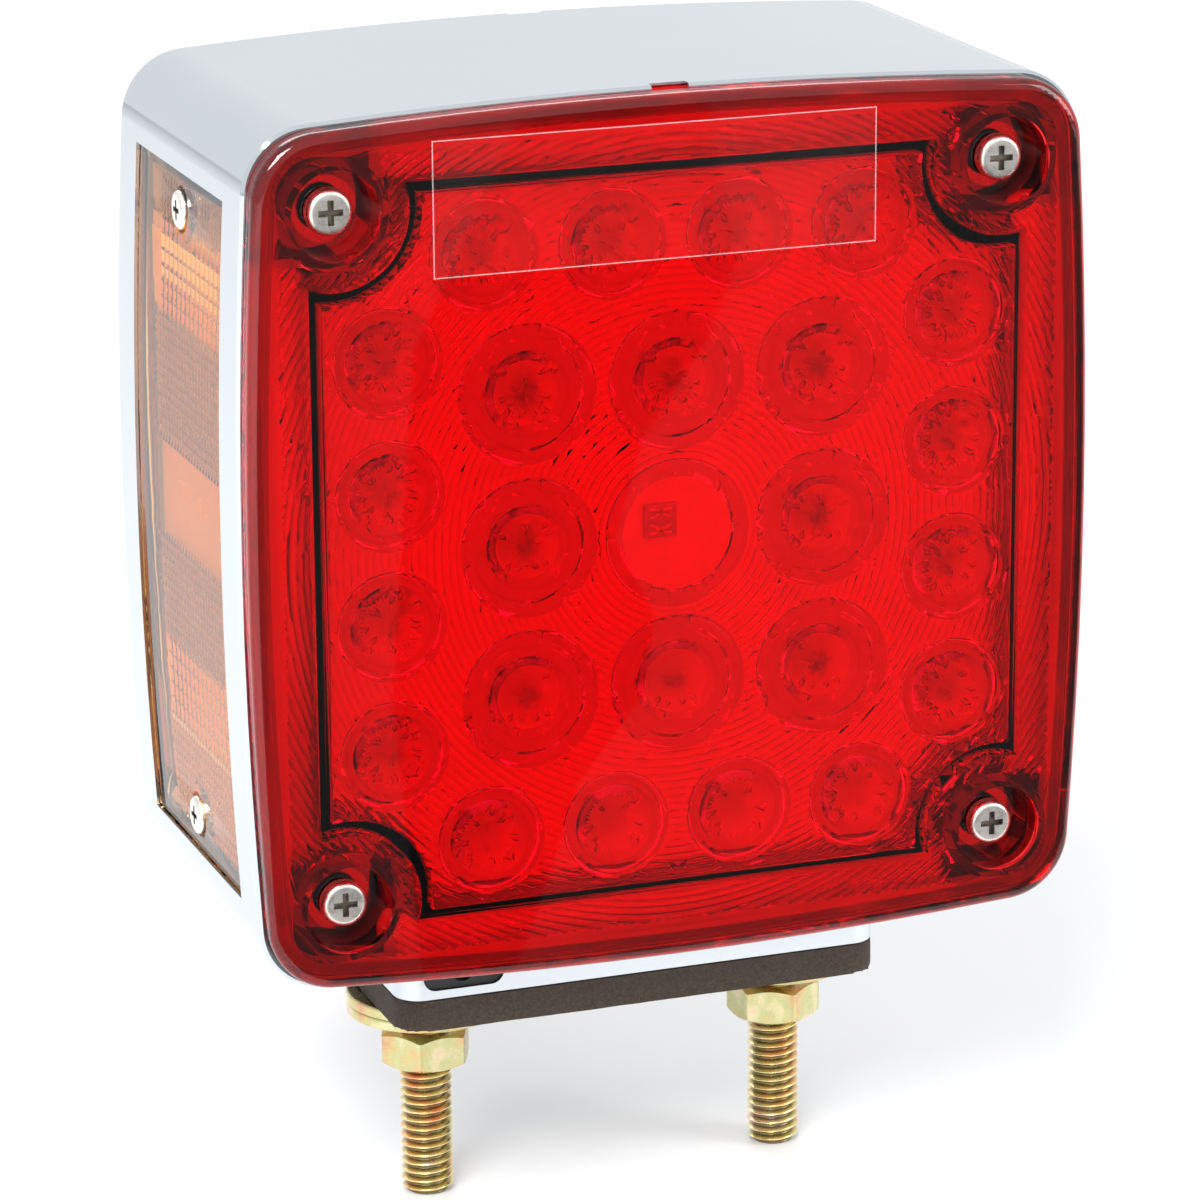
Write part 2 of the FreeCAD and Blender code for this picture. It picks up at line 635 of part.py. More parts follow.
def main():
    os.makedirs("parts", exist_ok=True)
    save("housing", housing())
    save("base_plate", base_plate())
    save("base_screws", base_screws())
    save("rubber_pad", rubber_pad())
    save("wire_grommet", wire_grommet())
    for name, side in (("left", -1), ("right", 1)):
        save("stud_" + name, stud(side))
        save("washer_upper_" + name, washer(side, 0))
        save("washer_lower_" + name, washer(side, 1))
        save("nut_" + name, nut(side, NUT_TURN[name]))
    face_pieces = {
        "lens": face_lens(),
        "gasket": face_gasket(),
        "lens_screws": face_screws(),
        "tray": light_tray(),
        "board": light_board(),
        "leds": face_leds(),
        "board_parts": board_parts(),
    }
    for name, shape in face_pieces.items():
        save("red_" + name, shape)
        save("amber_" + name, other_face(shape))
    save("clear_label", clear_label())
    save("side_lens", side_lens())
    save("side_gasket", side_gasket())
    save("side_lens_screws", side_screws())
    save("side_tray", side_tray())
    save("side_board", side_board())
    save("side_leds", side_leds())
    save("upper_reflex_back", reflex_back(UPPER_REFLEX_Z))
    save("lower_reflex_back", reflex_back(LOWER_REFLEX_Z))


main()
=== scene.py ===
"""Looks of a two-face pedestal lamp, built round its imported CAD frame. Units are metres."""

import json
import math
import random

import bmesh
import bpy
import numpy as np
from mathutils import Matrix, Vector, geometry, noise
from mathutils.bvhtree import BVHTree


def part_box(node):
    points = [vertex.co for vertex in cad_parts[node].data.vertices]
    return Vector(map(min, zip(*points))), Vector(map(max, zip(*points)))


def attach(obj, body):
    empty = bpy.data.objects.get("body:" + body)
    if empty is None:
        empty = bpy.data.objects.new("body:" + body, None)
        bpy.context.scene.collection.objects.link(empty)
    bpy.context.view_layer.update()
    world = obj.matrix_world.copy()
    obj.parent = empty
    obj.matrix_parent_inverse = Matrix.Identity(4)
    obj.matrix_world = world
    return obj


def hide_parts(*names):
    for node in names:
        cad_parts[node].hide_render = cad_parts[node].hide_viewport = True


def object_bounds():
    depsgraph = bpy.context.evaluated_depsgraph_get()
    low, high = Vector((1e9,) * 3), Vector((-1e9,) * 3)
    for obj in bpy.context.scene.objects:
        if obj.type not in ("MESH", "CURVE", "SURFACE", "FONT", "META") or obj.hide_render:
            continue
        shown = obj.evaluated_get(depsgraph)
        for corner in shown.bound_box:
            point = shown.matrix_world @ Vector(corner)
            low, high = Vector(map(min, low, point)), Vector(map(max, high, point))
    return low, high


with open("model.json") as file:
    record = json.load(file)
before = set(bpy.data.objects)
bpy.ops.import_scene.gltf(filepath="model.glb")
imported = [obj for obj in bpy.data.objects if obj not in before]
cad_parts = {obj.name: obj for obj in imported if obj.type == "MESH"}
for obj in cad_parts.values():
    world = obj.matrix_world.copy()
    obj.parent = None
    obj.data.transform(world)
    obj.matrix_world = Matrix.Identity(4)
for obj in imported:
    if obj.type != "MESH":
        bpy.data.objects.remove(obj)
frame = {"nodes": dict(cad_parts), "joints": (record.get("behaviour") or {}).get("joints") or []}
CAD_LOW, CAD_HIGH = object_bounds()

MM = 0.001
X, Y, Z = 0, 1, 2

# ---- places, from the frame ----------------------------------------------------------------
LENS_LOW, LENS_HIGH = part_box("red_lens")
LENS_Z = (LENS_LOW.z + LENS_HIGH.z) / 2
LENS_FACE = -LENS_LOW.y
SIDE_LOW, SIDE_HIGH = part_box("side_lens")
STUD_X = {j["name"][5:]: j["pos_m"][0] for j in frame["joints"] if j["name"].startswith("turn_")}
STUD_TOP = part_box("stud_left")[1].z
STUD_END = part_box("stud_left")[0].z

# ---- moulded detail inside the face lenses ------------------------------------------------------
LENS_PLATE = 2.4 * MM
GROOVE_PITCH = 1.13 * MM
GROOVE_DEPTH = 0.26 * MM
GROOVE_TIP = 0.06               # half width of a ridge's flat tip, in pitches
GROOVE_REACH = 59.0 * MM
PLAIN_CORNER = 44.0 * MM        # no grooves where both coordinates are past this
GUARD_STEP = 0.8 * MM           # spacing of the flat points that end the grooves
GROOVE_SIDES = ((18 * MM, 96), (36 * MM, 192), (90 * MM, 288))     # (up to this radius, sides)
OPTIC_SIDES = 56
INNER_PITCH = 22.6 * MM
OUTER_RING = 43.3 * MM
OUTER_STEPS = (9.62 * MM, 28.86 * MM)
RIM_GAP = 0.22 * MM             # moulded detail stops this far from a patch's rim
SCREW_HALF = 50.8 * MM
SCREW_TUBE = 8.6 * MM
RIB_FROM = 1.5 * MM             # a face of the rib is further in than this from the plate's inner face

# Each optic is (outer radius, ring radius, dome radius, dome's sphere radius).
SMALL_OPTIC = (8.2 * MM, 6.9 * MM, 5.7 * MM, 9.0 * MM)
LARGE_OPTIC = (10.4 * MM, 8.0 * MM, 5.9 * MM, 9.0 * MM)
CLEAR_OPTIC = (11.1 * MM, 8.4 * MM, 0.0, 1.0)
OPTIC_STEP = 0.6 * MM
OPTIC_RING = 0.3 * MM
OPTIC_WALL = 0.5 * MM


# ==== small helpers =================================================================================
def link(name, mesh):
    made = bpy.data.objects.new(name, mesh)
    bpy.context.scene.collection.objects.link(made)
    return made


def mesh_from(name, bm, sharp_deg=30.0, flat_along=None):
    """New object; faces square to the flat_along axis, and those marked as flat, keep their own normals."""
    bm.normal_update()
    square = [flat_along is not None and abs(f.normal[flat_along]) > 0.99995 for f in bm.faces]
    smooth = [not flat and not f.tag for f, flat in zip(bm.faces, square)]
    mesh = bpy.data.meshes.new(name)
    bm.to_mesh(mesh)
    bm.free()
    mesh.set_sharp_from_angle(angle=math.radians(sharp_deg))
    mesh.polygons.foreach_set("use_smooth", smooth)
    return link(name, mesh)


def weigh_normals(piece):
    """Keeps large flat faces flat where they meet small rounded ones."""
    modifier = piece.modifiers.new("weighted normals", "WEIGHTED_NORMAL")
    modifier.keep_sharp = True
    return piece


def give(piece, body, slot, *materials):
    """Materials and body of a new piece; the finish slot argument is not used."""
    for material in materials:
        piece.data.materials.append(material)
    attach(piece, body)
    return piece


def skin(bm, rings, closed):
    """Faces between rings of the same number of vertices; closed joins the last ring to the first."""
    count = len(rings[0])
    pairs = list(zip(rings, rings[1:] + rings[:1])) if closed else list(zip(rings, rings[1:]))
    for lower, upper in pairs:
        for i in range(count):
            j = (i + 1) % count
            corners = [lower[i], lower[j], upper[j], upper[i]]
            distinct = list(dict.fromkeys(corners))
            if len(distinct) > 2:
                bm.faces.new(distinct)


def circle(bm, centre, radius, height, sides, turn=0.0):
    ring = []
    for i in range(sides):
        a = turn + 2 * math.pi * i / sides
        ring.append(bm.verts.new((centre[0] + radius * math.cos(a), centre[1] + radius * math.sin(a), height)))
    return ring


def turned(bm, centre, outline, sides):
    """Solid of revolution about a Z axis; outline is (radius, height) pairs, from axis to axis or closed."""
    open_ends = outline[0][0] == 0.0
    inner = outline[1:-1] if open_ends else outline
    rings = [circle(bm, centre, r, z, sides) for r, z in inner]
    skin(bm, rings, closed=not open_ends)
    if open_ends:
        bm.faces.new(rings[0][::-1])
        bm.faces.new(rings[-1])


# ==== materials =====================================================================================
def surface(name, colours, colour_scale, rough, rough_scale, bump=0.0, bump_scale=1000.0, **sockets):
    """Principled material whose colour, roughness and bump vary with noise fixed to the object."""
    material = bpy.data.materials.new(name)
    material.use_nodes = True
    tree = material.node_tree
    shader = tree.nodes["Principled BSDF"]
    for socket, value in sockets.items():
        shader.inputs[socket.replace("_", " ")].default_value = value
    place = tree.nodes.new("ShaderNodeTexCoord").outputs["Object"]
    ramp = noise_ramp(tree, place, colour_scale, [(*c, 1.0) for c in colours])
    tree.links.new(ramp, shader.inputs["Base Color"])
    level = noise_ramp(tree, place, rough_scale, [(rough[0],) * 3 + (1.0,), (rough[1],) * 3 + (1.0,)])
    tree.links.new(level, shader.inputs["Roughness"])
    if bump:
        add_bump(tree, place, shader, bump, bump_scale)
    return material


def noise_ramp(tree, place, scale, colours):
    texture = tree.nodes.new("ShaderNodeTexNoise")
    texture.inputs["Scale"].default_value = scale
    texture.inputs["Detail"].default_value = 6.0
    tree.links.new(place, texture.inputs["Vector"])
    ramp = tree.nodes.new("ShaderNodeValToRGB")
    stops = ramp.color_ramp.elements
    while len(stops) < len(colours):
        stops.new(0.5)
    for i, colour in enumerate(colours):
        stops[i].position = 0.3 + 0.4 * i / (len(colours) - 1)
        stops[i].color = colour
    tree.links.new(texture.outputs["Fac"], ramp.inputs["Fac"])
    return ramp.outputs["Color"]


def add_bump(tree, place, shader, strength, scale):
    grain = tree.nodes.new("ShaderNodeTexNoise")
    grain.inputs["Scale"].default_value = scale
    grain.inputs["Detail"].default_value = 4.0
    tree.links.new(place, grain.inputs["Vector"])
    bump = tree.nodes.new("ShaderNodeBump")
    bump.inputs["Strength"].default_value = strength
    bump.inputs["Distance"].default_value = 0.2 * MM
    tree.links.new(grain.outputs["Fac"], bump.inputs["Height"])
    tree.links.new(bump.outputs["Normal"], shader.inputs["Normal"])


def thread_shade(material, x, low, high):
    """Darkens the bottom of the thread, by distance from the stud's axis."""
    tree = material.node_tree
    shader = tree.nodes["Principled BSDF"]
    place = tree.nodes.new("ShaderNodeTexCoord").outputs["Object"]
    shifted = tree.nodes.new("ShaderNodeVectorMath")
    shifted.operation = "SUBTRACT"
    shifted.inputs[1].default_value = (x, 0, 0)
    tree.links.new(place, shifted.inputs[0])
    across = tree.nodes.new("ShaderNodeVectorMath")
    across.operation = "MULTIPLY"
    across.inputs[1].default_value = (1, 1, 0)
    tree.links.new(shifted.outputs["Vector"], across.inputs[0])
    reach = tree.nodes.new("ShaderNodeVectorMath")
    reach.operation = "LENGTH"
    tree.links.new(across.outputs["Vector"], reach.inputs[0])
    level = tree.nodes.new("ShaderNodeMapRange")
    level.inputs["From Min"].default_value = low
    level.inputs["From Max"].default_value = high
    level.inputs["To Min"].default_value = 0.22
    level.inputs["To Max"].default_value = 1.0
    tree.links.new(reach.outputs["Value"], level.inputs["Value"])
    colour = shader.inputs["Base Color"].links[0].from_socket
    dim = tree.nodes.new("ShaderNodeVectorMath")
    dim.operation = "SCALE"
    tree.links.new(colour, dim.inputs[0])
    tree.links.new(level.outputs["Result"], dim.inputs["Scale"])
    tree.links.new(dim.outputs["Vector"], shader.inputs["Base Color"])
    return material


def place_of(tree, axis):
    """One object coordinate of the shaded point."""
    split = tree.nodes.new("ShaderNodeSeparateXYZ")
    tree.links.new(tree.nodes.new("ShaderNodeTexCoord").outputs["Object"], split.inputs[0])
    return split.outputs[axis]


def calculate(tree, operation, *values):
    node = tree.nodes.new("ShaderNodeMath")
    node.operation = operation
    for socket, value in zip(node.inputs, values):
        if isinstance(value, (int, float)):
            socket.default_value = value
        else:
            tree.links.new(value, socket)
    return node.outputs[0]


def ramped(tree, value, low, high):
    """0 below low, 1 above high; the other way round when low is the larger."""
    node = tree.nodes.new("ShaderNodeMapRange")
    node.inputs["From Min"].default_value = low
    node.inputs["From Max"].default_value = high
    tree.links.new(value, node.inputs["Value"])
    return node.outputs["Result"]


def tint(material, share, colour, strength=1.0):
    """Mixes a colour into a material's base colour, by a 0 to 1 share socket of its own tree."""
    tree = material.node_tree
    shader = tree.nodes["Principled BSDF"]
    mix = tree.nodes.new("ShaderNodeMix")
    mix.data_type = "RGBA"
    tree.links.new(calculate(tree, "MULTIPLY", share, strength), mix.inputs[0])
    tree.links.new(shader.inputs["Base Color"].links[0].from_socket, mix.inputs[6])
    if hasattr(colour, "links"):
        tree.links.new(colour, mix.inputs[7])
    else:
        mix.inputs[7].default_value = (*colour, 1.0)
    tree.links.new(mix.outputs[2], shader.inputs["Base Color"])
    return material


def painted_rim_shade(material, colour):
    """Paints shade into the thick edge of a face lens and its corners past the screws, where the housing behind
    them is in shadow.
    """
    tree = material.node_tree
    across = calculate(tree, "ABSOLUTE", place_of(tree, X))
    along = calculate(tree, "ABSOLUTE", calculate(tree, "SUBTRACT", place_of(tree, Z), LENS_Z))
    edge = ramped(tree, calculate(tree, "MAXIMUM", across, along), RIM_FROM, RIM_FROM + 0.8 * MM)
    corner = ramped(tree, calculate(tree, "MINIMUM", across, along), PLAIN_CORNER - 0.2 * MM, PLAIN_CORNER)
    tint(material, edge, colour)
    return tint(material, corner, [CORNER_SHARE * part for part in colour])


def painted_groove_shade(material, colour, rim_colour):
    """Paints shade on one flank of every ridge, most of all outside the rib, in place of the light and dark that
    the ridges bend.
    """
    tree = material.node_tree
    across = place_of(tree, X)
    along = calculate(tree, "SUBTRACT", place_of(tree, Z), LENS_Z)
    square = calculate(tree, "ADD", calculate(tree, "MULTIPLY", across, across),
                       calculate(tree, "MULTIPLY", along, along))
    turns = calculate(tree, "DIVIDE", calculate(tree, "SQRT", square), GROOVE_PITCH)
    wave = calculate(tree, "PINGPONG", turns, 0.5)
    edge = calculate(tree, "MAXIMUM", calculate(tree, "ABSOLUTE", across), calculate(tree, "ABSOLUTE", along))
    border = ramped(tree, edge, FLANGE[0], FLANGE[0] + 0.3 * MM)
    strength = calculate(tree, "MULTIPLY_ADD", border, 0.62, 0.38)
    flank = ramped(tree, wave, 0.16, 0.34)
    tint(material, calculate(tree, "MULTIPLY", flank, strength), colour)
    return painted_rim_shade(material, rim_colour)


def plastic(name, low, high, rough, level, **more):
    """Clear coloured plastic."""
    return surface(name, [low, high], 40, rough, 120, Transmission_Weight=1.0, IOR=1.49,
                   Specular_IOR_Level=level, **more)


# Painted shade of a face lens: where the rim's painted shade starts, and how dark its corners are painted.
RIM_FROM = 59.6 * MM
CORNER_SHARE = 0.86             # the corners' colour, as a share of the rim's
FLANGE = (54.6 * MM, 60.9 * MM)     # from the rib to the skirt
GOLDEN = [(0.64, 0.36, 0.22), (0.66, 0.50, 0.24), (0.56, 0.56, 0.28), (0.74, 0.64, 0.38), (0.72, 0.42, 0.38)]
THREAD_GOLD = [(1.0, 0.48, 0.26), (1.0, 0.66, 0.32), (0.86, 0.72, 0.34), (1.0, 0.82, 0.52), (1.0, 0.50, 0.36)]

CHROME = surface("chrome_plate", [(0.58, 0.62, 0.65), (0.62, 0.66, 0.68)], 14, (0.05, 0.10), 60,
                 0.015, 900, Metallic=1.0)
NICKEL = surface("nickel_plate", [(0.78, 0.75, 0.69), (0.92, 0.88, 0.82)], 400, (0.22, 0.36), 700,
                 0.06, 2500, Metallic=1.0)
# Darker, rougher nickel for the cross recesses of the screws: its colour is painted shade.
NICKEL_SHADE = surface("nickel_in_recess", [(0.16, 0.14, 0.11), (0.34, 0.30, 0.25)], 500, (0.35, 0.55), 700,
                       0.10, 2500, Metallic=1.0)
BASE_ZINC = surface("zinc_plate", [(0.52, 0.54, 0.57), (0.66, 0.67, 0.68)], 160, (0.28, 0.45), 240,
                    0.10, 1800, Metallic=1.0)
YELLOW_ZINC = surface("yellow_zinc", GOLDEN, 190, (0.20, 0.36), 500, 0.10, 1500, Metallic=1.0)
PAD_FOAM = surface("pad_foam", [(0.032, 0.022, 0.015), (0.045, 0.031, 0.021), (0.062, 0.044, 0.030)], 2600,
                   (0.80, 0.95), 900, 0.7, 3600)
BLACK_RUBBER = surface("black_rubber", [(0.012, 0.011, 0.011), (0.030, 0.027, 0.026)], 500, (0.55, 0.75), 300,
                       0.25, 1600)
WHITE_PLASTIC = surface("white_plastic", [(0.88, 0.88, 0.87), (0.94, 0.94, 0.93)], 90, (0.35, 0.5), 200,
                        0.08, 1500)
SOLDER_MASK = surface("solder_mask", [(0.88, 0.88, 0.86), (0.94, 0.94, 0.92)], 260, (0.3, 0.5), 300,
                      0.10, 1300)
PART_BLACK = surface("board_part_black", [(0.02, 0.02, 0.022), (0.05, 0.05, 0.055)], 900, (0.4, 0.6), 800,
                     0.15, 2500)
LED_BODY = surface("led_body", [(0.56, 0.53, 0.46), (0.64, 0.61, 0.54)], 800, (0.35, 0.5), 900, 0.05, 2500)
LED_GOLD = surface("led_gold", [(0.95, 0.78, 0.30), (1.0, 0.88, 0.45)], 1200, (0.3, 0.45), 900, 0.1, 2500)
LED_RESIN = surface("led_resin", [(0.97, 0.93, 0.80), (1.0, 0.97, 0.88)], 500, (0.04, 0.08), 600,
                    Transmission_Weight=1.0, IOR=1.2)
# In each face lens plastic below, the last colour is the painted shade of the rim and corners.
RED_PLASTIC = painted_rim_shade(plastic("red_plastic", (0.97, 0.0, 0.006), (1.0, 0.0, 0.010), (0.012, 0.03), 0.16),
                         (0.84, 0.02, 0.022))
# Grooved inner face: the colour after the plastic is painted shade on the ridge flanks, and the last is painted
# shade at the rim.
RED_INSIDE = painted_groove_shade(plastic("red_grooved", (1.0, 0.008, 0.010), (1.0, 0.012, 0.014), (0.03, 0.05), 0.5),
                            (0.62, 0.0, 0.004), (0.72, 0.006, 0.012))
# The optics are the same red plastic painted darker, as painted shade of their steps: the domes dark, the rings
# darker.
RED_DOME = plastic("red_dome", (0.74, 0.0, 0.016), (0.78, 0.0, 0.022), (0.24, 0.28), 0.5)
RED_RING = plastic("red_ring", (0.60, 0.0, 0.012), (0.64, 0.0, 0.018), (0.10, 0.14), 0.5)
RED_DISC = plastic("red_clear_disc", (1.0, 0.16, 0.07), (1.0, 0.18, 0.08), (0.02, 0.04), 0.5)
RED_WALL = surface("red_wall", [(0.80, 0.02, 0.040), (0.88, 0.03, 0.050)], 60, (0.50, 0.60), 120,
                   Transmission_Weight=0.6, IOR=1.08)
AMBER_PLASTIC = painted_rim_shade(plastic("amber_plastic", (0.96, 0.30, 0.006), (0.99, 0.35, 0.012), (0.012, 0.03), 0.16),
                           (0.60, 0.16, 0.006))
# Grooved inner face: the colour after the plastic is painted shade on the ridge flanks, and the last is painted
# shade at the rim.
AMBER_INSIDE = painted_groove_shade(plastic("amber_grooved", (1.0, 0.38, 0.01), (1.0, 0.42, 0.02), (0.03, 0.05), 0.5),
                              (0.84, 0.28, 0.004), (0.70, 0.20, 0.008))
# The amber optics likewise: domes and rings painted darker, as painted shade of their steps.
AMBER_DOME = plastic("amber_dome", (0.88, 0.26, 0.006), (0.92, 0.29, 0.010), (0.24, 0.28), 0.5)
AMBER_RING = plastic("amber_ring", (0.82, 0.22, 0.005), (0.86, 0.25, 0.008), (0.10, 0.14), 0.5)
AMBER_DISC = plastic("amber_clear_disc", (1.0, 0.50, 0.06), (1.0, 0.54, 0.08), (0.02, 0.04), 0.5)
AMBER_WALL = surface("amber_wall", [(0.82, 0.26, 0.010), (0.88, 0.30, 0.015)], 60, (0.50, 0.60), 120,
                     Transmission_Weight=0.6, IOR=1.08)
FILM = surface("clear_film", [(0.97, 0.97, 0.97), (1.0, 1.0, 1.0)], 60, (0.05, 0.12), 160, Alpha=0.002,
               Specular_IOR_Level=0.0)
FILM_EDGE = surface("clear_film_edge", [(0.80, 0.62, 0.62), (1.0, 0.9, 0.9)], 2200, (0.4, 0.6), 900, Alpha=0.24,
                    Specular_IOR_Level=0.0)

# The side lens is grouped in bands up its height, their darker tints painted shade of the chamber behind it:
# (lower end from the lens centre, colour).
REFLEX_ORANGE = (0.96, 0.42, 0.05)
BEAD_PAINTED_SHADE = (0.62, 0.28, 0.08)
SIDE_BANDS = ((-53.0, (0.78, 0.36, 0.10)), (-33.0, REFLEX_ORANGE), (-21.0, BEAD_PAINTED_SHADE),
              (-4.6, (0.84, 0.35, 0.05)), (9.7, BEAD_PAINTED_SHADE), (28.4, REFLEX_ORANGE), (43.0, (0.58, 0.30, 0.11)))
SIDE_HALF_HEIGHT = 53.0
BACK_STRIP = 14.6 * MM          # the plain strip along the back edge starts here
FRONT_STRIP = 19.3 * MM         # and the mottled one along the front edge here


def side_plastic():
    material = surface("side_amber_plastic", [(0.9, 0.4, 0.1), (1.0, 0.5, 0.1)], 60, (0.03, 0.08), 160,
                       Transmission_Weight=1.0, IOR=1.36, Specular_IOR_Level=0.1)
    tree = material.node_tree
    height = calculate(tree, "SUBTRACT", place_of(tree, Z), LENS_Z)
    # Painted shade: each band's tint darkens the lens where less light comes through from behind.
    for low, colour in SIDE_BANDS:
        tint(material, ramped(tree, height, (low - 0.3) * MM, (low + 0.3) * MM), colour)
    tint(material, ramped(tree, place_of(tree, Y), BACK_STRIP, BACK_STRIP + 0.5 * MM), (0.82, 0.44, 0.15), 0.8)
    where = tree.nodes.new("ShaderNodeTexCoord").outputs["Object"]
    mottle = noise_ramp(tree, where, 650, [(0.16, 0.035, 0.004, 1.0), (1.0, 0.36, 0.010, 1.0),
                                           (1.0, 0.50, 0.030, 1.0)])
    tint(material, ramped(tree, place_of(tree, Y), -FRONT_STRIP, -FRONT_STRIP - 0.4 * MM), mottle)
    return material


SIDE_AMBER = side_plastic()
SIDE_LED = surface("side_led", [(0.95, 0.80, 0.10), (1.0, 0.92, 0.30)], 700, (0.25, 0.4), 800, 0.05, 2000)


# ==== camera, light and floor ===========================================================================
CAMERA_AT = Vector((-261.232, -721.312, 283.182)) * MM
CAMERA_AZIMUTH = math.radians(-19.9329)
CAMERA_ELEVATION = math.radians(16.3526)
CAMERA_ROLL = math.radians(-0.4191)
CAMERA_LENS_MM = 158.855


def make_camera():
    data = bpy.data.cameras.new("camera")
    data.lens = CAMERA_LENS_MM
    data.sensor_width = 36.0
    camera = link("camera", data)
    a, e = CAMERA_AZIMUTH, CAMERA_ELEVATION
    back = Vector((math.sin(a) * math.cos(e), -math.cos(a) * math.cos(e), math.sin(e)))
    right = Vector((math.cos(a), math.sin(a), 0))
    up = back.cross(right)
    c, s = math.cos(CAMERA_ROLL), math.sin(CAMERA_ROLL)
    turned_right = c * right + s * up
    turned_up = -s * right + c * up
    turn = Matrix((turned_right, turned_up, back)).transposed()
    camera.matrix_world = Matrix.Translation(CAMERA_AT) @ turn.to_4x4()
    bpy.context.scene.camera = camera


def make_light(name, at, aim, size, watts, colour=(1.0, 1.0, 1.0)):
    data = bpy.data.lights.new(name, "AREA")
    data.shape = "RECTANGLE"
    data.size, data.size_y = size
    data.energy = watts
    data.color = colour
    lamp = link(name, data)
    lamp.location = at
    lamp.rotation_euler = (Vector(aim) - Vector(at)).to_track_quat("-Z", "Y").to_euler()
    return lamp


def make_studio():
    world = bpy.data.worlds.new("studio")
    bpy.context.scene.world = world
    world.use_nodes = True
    sky = world.node_tree.nodes["Background"]
    sky.inputs["Color"].default_value = (0.96, 0.98, 1.0, 1.0)
    sky.inputs["Strength"].default_value = 1.0
    aim = (0, 0, LENS_Z)
    make_light("key", (-0.9, -1.1, 1.3), aim, (0.9, 0.9), 52.0)
    make_light("fill", (1.3, -0.9, 0.7), aim, (0.8, 1.2), 18.0)
    make_light("back", (0.2, 1.3, 1.2), aim, (1.2, 0.7), 10.0)
    floor = mesh_from("floor", floor_mesh())
    floor.data.materials.append(surface("floor_white", [(0.63, 0.64, 0.65), (0.66, 0.66, 0.67)], 3,
                                        (0.6, 0.7), 5))
    card("grey_card", FRONT_CARD, 0.3 * MM, 0.07)
    card("dark_card", [mirrored_on_floor(x * MM, z * MM) for x, z in DARK_IN_LENS], 0.6 * MM, 0.004)
    view = bpy.context.scene.view_settings
    view.view_transform = "Standard"
    view.look = "None"
    cycles = bpy.context.scene.cycles
    cycles.max_bounces = 24
    cycles.transmission_bounces = 24
    cycles.transparent_max_bounces = 16


FRONT_CARD = [(-0.16, -0.13), (-0.16, -1.6), (0.90, -1.6), (0.90, -0.13)]
# The outline, on the lens and from its centre, of the dark card that the lens mirrors.
DARK_IN_LENS = [(-40, -64), (-44, -20), (-40, 30), (-24, 62), (4, 64), (9, 40), (4, 28), (-6, 14), (-10, 0),
                (-4, -12), (-6, -24), (-16, -36), (-20, -48), (-26, -64)]


def mirrored_on_floor(x, z):
    """Where on the floor the camera sees by way of this point of the flat lens face."""
    point = Vector((x, -LENS_FACE, z + LENS_Z))
    ray = point - CAMERA_AT
    ray.y = -ray.y
    landing = point + ray * ((CAD_LOW.z - point.z) / ray.z)
    return landing.x, landing.y


def card(name, outline, lift, level):
    """A flat card on the floor that only shows as a reflection."""
    bm = bmesh.new()
    face = bm.faces.new([bm.verts.new((x, y, CAD_LOW.z + lift)) for x, y in outline])
    if face.normal.z < 0:
        face.normal_flip()
    piece = mesh_from(name, bm)
    piece.data.materials.append(surface(name, [(level * 0.9,) * 3, (level * 1.1,) * 3], 5, (0.8, 0.9), 8))
    piece.visible_camera = False
    piece.visible_diffuse = False
    piece.visible_transmission = False
    piece.visible_shadow = False


def floor_mesh(half=4.0):
    bm = bmesh.new()
    corners = [(-half, -half), (half, -half), (half, half), (-half, half)]
    bm.faces.new([bm.verts.new((x, y, CAD_LOW.z)) for x, y in corners])
    return bm


# ==== refilling a patch of a CAD piece with moulded detail =================================================
def copy_of(node):
    """The CAD node's mesh as a bmesh, with the vertices that its sharp edges split merged again."""
    bm = bmesh.new()
    bm.from_mesh(frame["nodes"][node].data)
    bmesh.ops.remove_doubles(bm, verts=bm.verts, dist=0.002 * MM)
    for face in bm.faces:
        face.tag = False
    return bm


def rim_of(patch):
    inside = set(patch)
    edges = {e for f in patch for e in f.edges}
    return [e for e in edges if sum(f in inside for f in e.link_faces) == 1]


def far_from(points, starts, ends, gap):
    """Which of the flat points are further than gap from every segment."""
    keep = np.ones(len(points), bool)
    for a, b in zip(starts, ends):
        along = b - a
        t = np.clip(((points - a) @ along) / max(float(along @ along), 1e-18), 0, 1)
        keep &= np.linalg.norm(points - (a + t[:, None] * along), axis=1) > gap
    return keep


